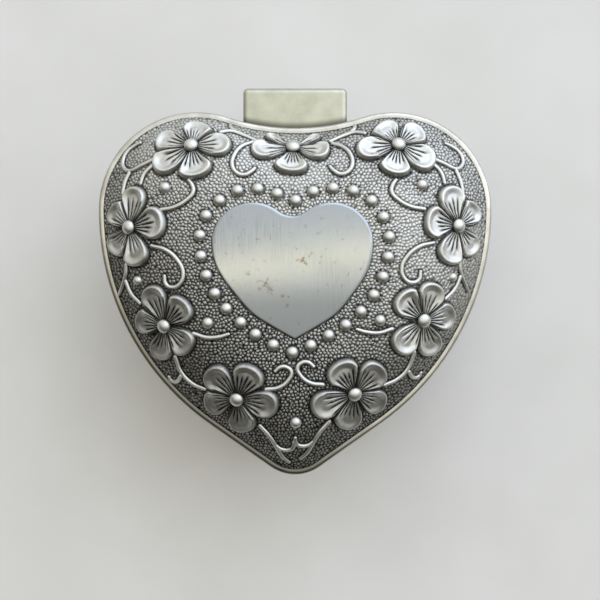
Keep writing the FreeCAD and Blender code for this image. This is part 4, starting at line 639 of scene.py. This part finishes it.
bm = bmesh.new()
bm.from_mesh(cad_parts["lid_shell"].data)
lid_tree = BVHTree.FromBMesh(bm)
bm.free()
bm = bmesh.new()
wipe_light_layer = bm.verts.layers.float.new("wipe_and_light")
for radius, marks in ((BEAD, BEADS), (BERRY, BERRIES), (SMALL_BERRY, SMALL_BERRIES)):
    for x, y in marks:
        ground = seat(x * MM, y * MM)
        middle = Vector((x * MM, y * MM, ground + (BEAD_TOP - 1) * radius * MM))
        made = bmesh.ops.create_uvsphere(bm, radius=radius * MM, matrix=Matrix.Translation(middle), **BALL)
        for vert in made["verts"]:
            vert[wipe_light_layer] = fade(*BEAD_WIPE, (vert.co.z - ground) / (radius * MM))
        for mark in range(BALL_MARKS):
            turn = mark * math.tau / BALL_MARKS
            side = Vector((math.cos(turn), math.sin(turn), 0))
            relief_edge.append(Vector((middle.x, middle.y, ground)) + side * radius * MM)
beads = piece("lid_beads_wiped", bm, antique_relief, "lid")
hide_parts("lid_beads")

# Flowers: nine five-petal blossoms cast on the dome. Each petal is a cupped lobe with a thick rolled
# edge, and fine grooves cut in the die run out from the round eye; the wash stays in them.
# Each petal has its bearing in degrees, and its reach and width in mm as seen from above.
FLOWERS = (
    (-22.26, 28.70, ((1, 8.8, 5.2), (73, 6.0, 6.6), (168, 8.4, 5.2), (212, 9.7, 5.7), (281, 7.7, 7.4))),
    (22.26, 28.90, ((189, 9.4, 5.1), (129, 6.5, 6.6), (37, 7.1, 5.8), (-29, 9.1, 5.8), (259, 7.3, 6.8))),
    (-35.63, 11.30, ((80, 9.2, 5.5), (130, 6.6, 5.8), (231, 7.0, 5.7), (285, 8.8, 5.9), (8, 8.5, 7.0))),
    (35.10, 11.60, ((104, 9.1, 6.0), (47, 6.7, 5.6), (-57, 7.3, 5.4), (253, 8.8, 6.2), (173, 7.9, 6.9))),
    (-0.4, 28.50, ((184, 9.2, 4.9), (-6, 8.1, 4.9), (264, 6.4, 7.1), (154, 6.8, 1.7), (24, 6.6, 1.7))),
    (-27.84, -9.90, ((110, 9.4, 5.5), (47, 7.7, 6.6), (-41, 8.0, 5.9), (259, 7.7, 5.4), (168, 7.1, 5.5))),
    (27.45, -8.70, ((75, 8.6, 5.9), (10, 7.7, 5.8), (-72, 8.2, 5.8), (227, 9.1, 5.9), (133, 8.1, 6.6))),
    (-12.3, -25.5, ((133, 9.2, 6.0), (63, 8.4, 7.0), (-8, 9.2, 5.9), (-79, 7.8, 6.1), (190, 7.6, 5.8))),
    (12.7, -24.35, ((119, 8.2, 7.1), (47, 8.7, 6.3), (-22, 7.7, 5.6), (257, 8.4, 6.1), (199, 10.0, 6.0))))
PETAL_RISE = 1.3        # mm from the ground to the top of a petal's edge
PETAL_MIDDLE = 0.56     # share of its reach at which a petal's middle lies
PETAL_EGG = 0.3         # share by which it is broader at its outer end
PETAL_ROLL = 0.84       # share of the way out at which its edge starts to roll down
PETAL_BOWL = 0.45       # share of its rise by which its middle is hollowed
PETAL_HOLLOW = (0.88, 0.45)             # shares of the way out between which it is hollowed
PETAL_CLIMB = (0.42, 0.0, 0.62)         # as fade: share of its rise by the eye, and shares of its length
PETAL_GRID = {"x_segments": 36, "y_segments": 46}
PETAL_RIM = 0.97        # share of the way out, past which a point counts as its foot
PETAL_SINK = 0.2        # mm that its rolled edge runs into the ground
PETAL_WIDEST = 52.0     # degrees that half a petal may fill, seen from the eye
PETAL_PART = 0.475      # share of the angle to the next petal that a petal may fill
GROOVE_PITCH = 11.5     # degrees between the grooves, about the flower's eye
GROOVE_DEEP = 0.40      # mm
GROOVE_LONG = 0.72      # share of the petal's reach
GROOVE_END = 0.2        # share of the reach over which it runs out
GROOVE_EDGE = 1.5       # power that makes it narrower than the land beside it
GROOVE_STEP, GROOVE_STRAY = 0.035, 0.12         # shares: shorter with each groove outwards, and by chance
EYE, EYE_FLAT, EYE_LIFT = 1.6, 0.75, 0.5        # radius in mm, share of it in height, mm over the ground
EYE_WIPE = (0.1, -0.2, 0.5)             # as fade: share of the shine low down, and shares of its radius
PETAL_FOOT = 0.35       # share of the shine at its rolled edge's foot
PETAL_WIPE = (0.55, 0.05, 0.4)          # as fade: share of the shine by the eye, darkened there by wash and painted shade, and shares of its length
PETAL_DIM, GROOVE_DIM = 0.1, 0.9        # shares of the shine lost in the hollow and in the grooves
LIGHT_WAY_X, LIGHT_WAY_Y = 0.45, 0.9              # the way along which painted light and shade fall across the lid
PETAL_SHADE, SHADE_FROM, SHADE_TO = 0.3, 5, -32            # share of the shine lost to painted shade towards the front, and mm along that way
TILT = 2.0              # mm to each side at which the ground's tilt is taken
bm = bmesh.new()
wipe_light_layer = bm.verts.layers.float.new("wipe_and_light")
for bloom, (x, y, petals) in enumerate(FLOWERS):
    foot = Vector((x * MM, y * MM, seat(x * MM, y * MM)))
    side = Vector((2 * TILT * MM, 0, seat((x + TILT) * MM, y * MM) - seat((x - TILT) * MM, y * MM)))
    back = Vector((0, 2 * TILT * MM, seat(x * MM, (y + TILT) * MM) - seat(x * MM, (y - TILT) * MM)))
    # Painted shade: flowers towards the front are darkened.
    front_shade = PETAL_SHADE * smooth(SHADE_FROM, SHADE_TO, LIGHT_WAY_X * x + LIGHT_WAY_Y * y)
    up = side.cross(back).normalized()
    bearings = sorted(bearing % 360 for bearing, _, _ in petals)
    for petal, (bearing, reach, width) in enumerate(petals):
        lead = math.radians(bearing)
        at = bearings.index(bearing % 360)
        gaps = bearings[(at + 1) % 5] - bearings[at], bearings[at] - bearings[at - 1]
        part_left, part_right = [math.tan(math.radians(min(PETAL_WIDEST, PETAL_PART * (gap % 360))))
                                 for gap in gaps]
        grid = bmesh.ops.create_grid(bm, size=1.0, **PETAL_GRID)
        for vert in grid["verts"]:
            gx, gy = vert.co.x, vert.co.y
            px, py = gx * math.sqrt(1 - gy * gy / 2), gy * math.sqrt(1 - gx * gx / 2)
            rho = min(1.0, math.hypot(px, py))
            out = reach * (PETAL_MIDDLE + (1 - PETAL_MIDDLE) * px)
            ends = math.sqrt(max(1e-6, 1 - px * px))
            room = (part_left if py > 0 else part_right) * out
            wide = py / ends * min(width / 2 * (1 + PETAL_EGG * px) * ends, room)
            far = (px + 1) / 2
            turn = math.degrees(math.atan2(wide, out))
            row = round(turn / GROOVE_PITCH)
            long = (GROOVE_LONG - GROOVE_STEP * abs(row)
                    + GROOVE_STRAY * noise.noise(Vector((row * 2.3, petal * 5.1, bloom * 1.3))))
            cut = (max(0.0, math.cos(turn / GROOVE_PITCH * math.tau)) ** GROOVE_EDGE
                   * smooth(long, long - GROOVE_END, out / reach) * smooth(1.0, PETAL_ROLL, rho))
            over = max(0.0, rho - PETAL_ROLL) / (1 - PETAL_ROLL)
            roll = math.sqrt(max(0.0, 1 - over ** 2))
            bowl = smooth(*PETAL_HOLLOW, rho)
            rise = (PETAL_RISE * roll * (1 - PETAL_BOWL * bowl) * fade(*PETAL_CLIMB, far)
                    - GROOVE_DEEP * cut - PETAL_SINK * (1 - roll))
            spot = foot + Vector((out * math.cos(lead) - wide * math.sin(lead),
                                  out * math.sin(lead) + wide * math.cos(lead), 0)) * MM
            spot.z = seat(spot.x, spot.y)
            vert.co = spot + up * (rise * MM)
            # The shine is cut by the wash in the grooves and at the foot, and by painted shade near the eye and
            # towards the front.
            vert[wipe_light_layer] = max(0.0, (PETAL_FOOT + (1 - PETAL_FOOT) * roll) * fade(*PETAL_WIPE, far)
                                   * (1 - PETAL_DIM * bowl) * (1 - front_shade) - GROOVE_DIM * cut)
            if rho > PETAL_RIM:
                relief_edge.append(spot)
    eye = bmesh.ops.create_uvsphere(bm, radius=EYE * MM, **BALL)
    turned = Vector((0, 0, 1)).rotation_difference(up)
    for vert in eye["verts"]:
        vert[wipe_light_layer] = fade(*EYE_WIPE, vert.co.z / (EYE * MM))
        vert.co = foot + turned @ Vector((vert.co.x, vert.co.y, vert.co.z * EYE_FLAT)) + up * (EYE_LIFT * MM)
bmesh.ops.recalc_face_normals(bm, faces=bm.faces)
flowers = piece("lid_flowers_wiped", bm, antique_relief, "lid")
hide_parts("lid_flowers")

# Vines: thin rounded tendrils that scroll between the flowers, raised with the rest of the relief and
# wiped bright along their backs. They taper a little to their curled, rounded ends.
VINE = 0.5              # mm, half the width of a tendril
VINE_LIFT = 0.14        # mm from the ground to a tendril's middle
VINE_END = 0.85         # share of the width at the curled end
VINE_WIPE = (0.1, 0.0, 0.4)             # as fade: share of the shine at its foot, and mm over the ground
VINE_FOOT = 0.3         # share of the shine, under which a point counts as its foot
TIP = {"u_segments": 14, "v_segments": 10}


def drawn(x, y, mirror):
    """A mark of a tendril on the right or the left, which the engraver did not draw quite alike, in mm."""
    if mirror > 0:
        return (x - 0.5 - 0.9 * smooth(-16, -10, y),
                y + 1.0 - smooth(-2, 20, y) - 0.8 * smooth(24, 31, y))
    return -x + 0.4, y - 0.5 * smooth(20, 26, y)


TENDRILS = (
    ((31.2, 26.5), (33.9, 25.3), (36.6, 24.3), (38.2, 25.4), (38.6, 27.1), (37.9, 29.0), (36.3, 30.3),
     (34.7, 31.0)),
    ((36.5, 24.1), (37.6, 21.3), (38.0, 18.8)),
    ((31.2, 25.1), (33.0, 23.1), (33.7, 20.8)),
    ((28.9, 14.8), (26.0, 15.3), (23.3, 16.8), (21.9, 18.5), (22.2, 20.1), (22.9, 21.1)),
    ((30.9, 7.2), (27.7, 6.2), (25.1, 3.9), (24.0, 1.4), (24.6, -0.8), (26.2, -1.7), (27.8, -1.0), (28.1, 0.7)),
    ((37.2, 3.3), (37.4, 1.1), (38.5, -1.4), (39.6, -3.1)),
    ((37.4, -0.3), (36.2, -2.9), (34.0, -5.1)),
    ((21.9, -11.5), (19.0, -12.3), (16.5, -12.2), (14.4, -11.6)),
    ((26.3, -16.6), (25.0, -20.2), (22.7, -22.5), (19.8, -23.7)),
    ((25.3, -21.0), (26.6, -22.4), (27.9, -22.1), (28.3, -21.4)),
    ((6.5, -23.3), (3.8, -22.9), (1.8, -21.4), (1.1, -19.6), (2.0, -18.6), (3.3, -18.5), (4.5, -19.4)),
    ((7.9, -31.5), (5.9, -33.8), (4.6, -36.0), (3.1, -38.8), (1.7, -40.2)),
    ((4.6, -36.0), (3.3, -36.9), (1.4, -36.9), (0.7, -36.2), (0.6, -35.1)),
    ((16.6, 32.7), (14.4, 33.1), (12.1, 32.4), (9.1, 31.0)),
    ((13.7, 33.2), (14.6, 34.3), (14.7, 35.2)),
    ((9.6, 30.4), (11.9, 29.2), (13.4, 26.9), (13.7, 24.7), (12.8, 22.9), (11.2, 22.3), (9.7, 23.1),
     (8.9, 24.0)))
scroll = bpy.data.curves.new("vine_scroll", "CURVE")
scroll.dimensions = "3D"
scroll.bevel_depth = VINE * MM
scroll.bevel_resolution = 4
scroll.resolution_u = 10
tips = []
for marks in TENDRILS:
    for mirror in (1, -1):
        run = scroll.splines.new("BEZIER")
        run.bezier_points.add(len(marks) - 1)
        for at, (point, (x, y)) in enumerate(zip(run.bezier_points, marks)):
            x, y = drawn(x, y, mirror)
            point.co = (x * MM, y * MM, seat(x * MM, y * MM) + VINE_LIFT * MM)
            point.handle_left_type = point.handle_right_type = "AUTO"
            point.radius = VINE_END if at == len(marks) - 1 else 1.0
        tips += [(run.bezier_points[0].co.copy(), VINE), (run.bezier_points[-1].co.copy(), VINE * VINE_END)]
draft = bpy.data.objects.new("vine_scroll", scroll)
bpy.context.scene.collection.objects.link(draft)
bpy.context.view_layer.update()
bm = bmesh.new()
bm.from_mesh(draft.to_mesh())
bpy.data.objects.remove(draft)
for spot, radius in tips:
    bmesh.ops.create_uvsphere(bm, radius=radius * MM, matrix=Matrix.Translation(spot), **TIP)
wipe_light_layer = bm.verts.layers.float.new("wipe_and_light")
for vert in bm.verts:
    vert[wipe_light_layer] = fade(*VINE_WIPE, (vert.co.z - seat(vert.co.x, vert.co.y)) / MM)
    if vert[wipe_light_layer] < VINE_FOOT:
        relief_edge.append(vert.co.copy())
bmesh.ops.recalc_face_normals(bm, faces=bm.faces)
piece("lid_vines", bm, antique_relief, "lid")

# Ground: the field of the lid between rim, plaque and flowers, stippled in the die with small rounded
# grains. Their tops are wiped, and black wash is left between them and all round the foot of the relief.
# Painted light brightens the field towards the back right, a little less by the rim there.
GROUND_INSET = 1.32     # mm of rim left showing
GROUND_UNDER = 1.8      # mm that it reaches in under the plaque
GROUND_RUNS = (60, 214, 180, 140, 46)
GROUND_ROWS = 148       # cuts from the rim to the plaque
GROUND_LIFT = 0.04      # mm over the casting's plain surface
GROUND_GAP, GROUND_TOP = 0.02, 0.66     # shares of shine in the gaps and on the grains
GROUND_LIT_EVEN = 0.25       # share by which the tops stand out less where painted light brightens the gaps
LIGHT_SHARE, LIGHT_FROM, LIGHT_TO = 0.40, -26, 26        # share of painted light added to the gaps, and mm along the way the light falls
LIGHT_EASED, EASE_FROM, EASE_TO = 0.16, 22, 34         # share of that painted light taken off again by the rim at the back
LIGHT_STRAY = 8           # mm that both stray in clouds
RIM_FADE = 0.4          # mm over which the grains sink to the rim
FOOT_WASH = (0.35, 0.05, 0.6)           # as fade: share of the shine at the foot of the relief, and mm from it
RIM_WASH = (0.6, 0.1, 0.7)              # as fade: share of the shine by the rim, and mm from it
foot_tree = nearest(relief_edge)
noise.seed_set(18)
lid_grains = pebbles(LID[0], LID[0])
for hand, name in ((1, "lid_ground_right"), (-1, "lid_ground_left")):
    bm = bmesh.new()
    half_heart(bm, LID, -GROUND_INSET, GROUND_RUNS)
    outer = [v.co.copy() for v in bm.verts]
    half_heart(bm, PLAQUE, -GROUND_UNDER, GROUND_RUNS)
    chains = set(bm.edges)
    bmesh.ops.bridge_loops(bm, edges=bm.edges[:])
    bmesh.ops.subdivide_edges(bm, edges=[e for e in bm.edges if e not in chains], cuts=GROUND_ROWS)
    rim_tree = nearest(outer)
    wipe_light_layer = bm.verts.layers.float.new("wipe_and_light")
    for vert in bm.verts:
        from_rim = rim_tree.find(vert.co)[2] / MM
        vert.co.x *= hand
        lie = seat(vert.co.x, vert.co.y) + GROUND_LIFT * MM
        bump = on_grain(lid_grains, vert.co.x / MM, vert.co.y / MM)
        clear = foot_tree.find((vert.co.x, vert.co.y, lie))[2] / MM
        field = noise.noise(Vector((vert.co.x, vert.co.y, 0)) / (CLOUD_SIZE * MM))
        # Painted light: the field is brightened from the front left towards the back right.
        away = (LIGHT_WAY_X * vert.co.x + LIGHT_WAY_Y * vert.co.y) / MM + LIGHT_STRAY * field
        light_share = LIGHT_SHARE * smooth(LIGHT_FROM, LIGHT_TO, away) - LIGHT_EASED * smooth(EASE_FROM, EASE_TO, away)
        vert.co.z = lie + (GRAIN_RISE * bump * smooth(0.0, RIM_FADE, from_rim)) * MM
        vert[wipe_light_layer] = ((GROUND_GAP + light_share + (GROUND_TOP - GROUND_LIT_EVEN * light_share) * bump)
                            * fade(*FOOT_WASH, clear) * fade(*RIM_WASH, from_rim))
    bmesh.ops.recalc_face_normals(bm, faces=bm.faces)
    if sum(f.normal.z for f in bm.faces) < 0:
        bmesh.ops.reverse_faces(bm, faces=bm.faces)
    piece(name, bm, antique_relief, "lid")

# Stage: a pale floor, a soft studio that is brighter overhead and behind the box than in front of it, and
# the camera straight above, as the photograph was taken.
FLOOR_HALF = 3.0        # m
BRIGHT_WAY = (0.18, 0.73, 0.66)         # where the studio is brightest
LIT = (0, 0, 0.03)      # m, where the lamps point
CAMERA_AT = (1.117, -4.38, 208.3)       # mm
HALF_VIEW = 22.0        # degrees
SENSOR = 36.0
# Paper: pale, warm and without gloss.
paper, tree, shader, place = finish("pale_floor_paper", Roughness=0.9)
tooth = mottle(tree, place, 40, 3.0)
tone = add(tree, "ShaderNodeValToRGB", {"Fac": tooth}, [(0.3, "#DEDBD4"), (0.7, "#E6E3DD")])
feed(tree, shader, Base_Color=tone)
bm = bmesh.new()
bmesh.ops.create_grid(bm, x_segments=8, y_segments=8, size=FLOOR_HALF)
floor_mesh = bpy.data.meshes.new("floor")
bm.to_mesh(floor_mesh)
bm.free()
floor_mesh.materials.append(paper)
floor = bpy.data.objects.new("floor", floor_mesh)
bpy.context.scene.collection.objects.link(floor)

studio = bpy.data.worlds.new("studio")
bpy.context.scene.world = studio
studio.use_nodes = True
tree = studio.node_tree
sky = add(tree, "ShaderNodeTexCoord")
lean = add(tree, "ShaderNodeVectorMath", {0: sky.outputs["Generated"], 1: BRIGHT_WAY},
           operation="DOT_PRODUCT")
part = add(tree, "ShaderNodeMapRange", {"Value": lean.outputs["Value"], "From Min": -1.0, "From Max": 1.0})
tone = add(tree, "ShaderNodeValToRGB", {"Fac": part.outputs["Result"]},
           [(0.0, "#1E1E1D"), (1.0, "#E6ECF2"), (0.45, "#343330"), (0.55, "#605E59"), (0.70, "#C6C5BF"),
            (0.83, "#D4D7D9"), (0.92, "#E0E5EA")])
tree.links.new(tone.outputs["Color"], tree.nodes["Background"].inputs["Color"])
tree.nodes["Background"].inputs["Strength"].default_value = 1.5

for name, spot, roll, size, power, colour in (
        ("ceiling_strip", (0.0, 0.052, 0.75), 11, (0.9, 0.06), 0.34, "#FFEFC0"),
        ("window_behind", (0.60, 0.70, 0.60), 0, (1.6, 1.2), 7.0, "#CFDFFF")):
    lamp = bpy.data.lights.new(name, "AREA")
    lamp.shape = "RECTANGLE"
    lamp.size, lamp.size_y = size
    lamp.energy = power
    lamp.color = linear(colour)[:3]
    hung = bpy.data.objects.new(name, lamp)
    hung.location = spot
    aim = (Vector(LIT) - Vector(spot)).to_track_quat("-Z", "Y").to_matrix()
    hung.rotation_euler = (aim @ Matrix.Rotation(math.radians(roll), 3, "Z")).to_euler()
    bpy.context.scene.collection.objects.link(hung)

lens = bpy.data.cameras.new("overhead")
lens.sensor_width = SENSOR
lens.lens = SENSOR / 2 / math.tan(math.radians(HALF_VIEW))
lens.clip_start = 0.01
overhead = bpy.data.objects.new("overhead", lens)
overhead.location = Vector(CAMERA_AT) * MM
bpy.context.scene.collection.objects.link(overhead)
bpy.context.scene.camera = overhead
bpy.context.scene.view_settings.view_transform = "Standard"
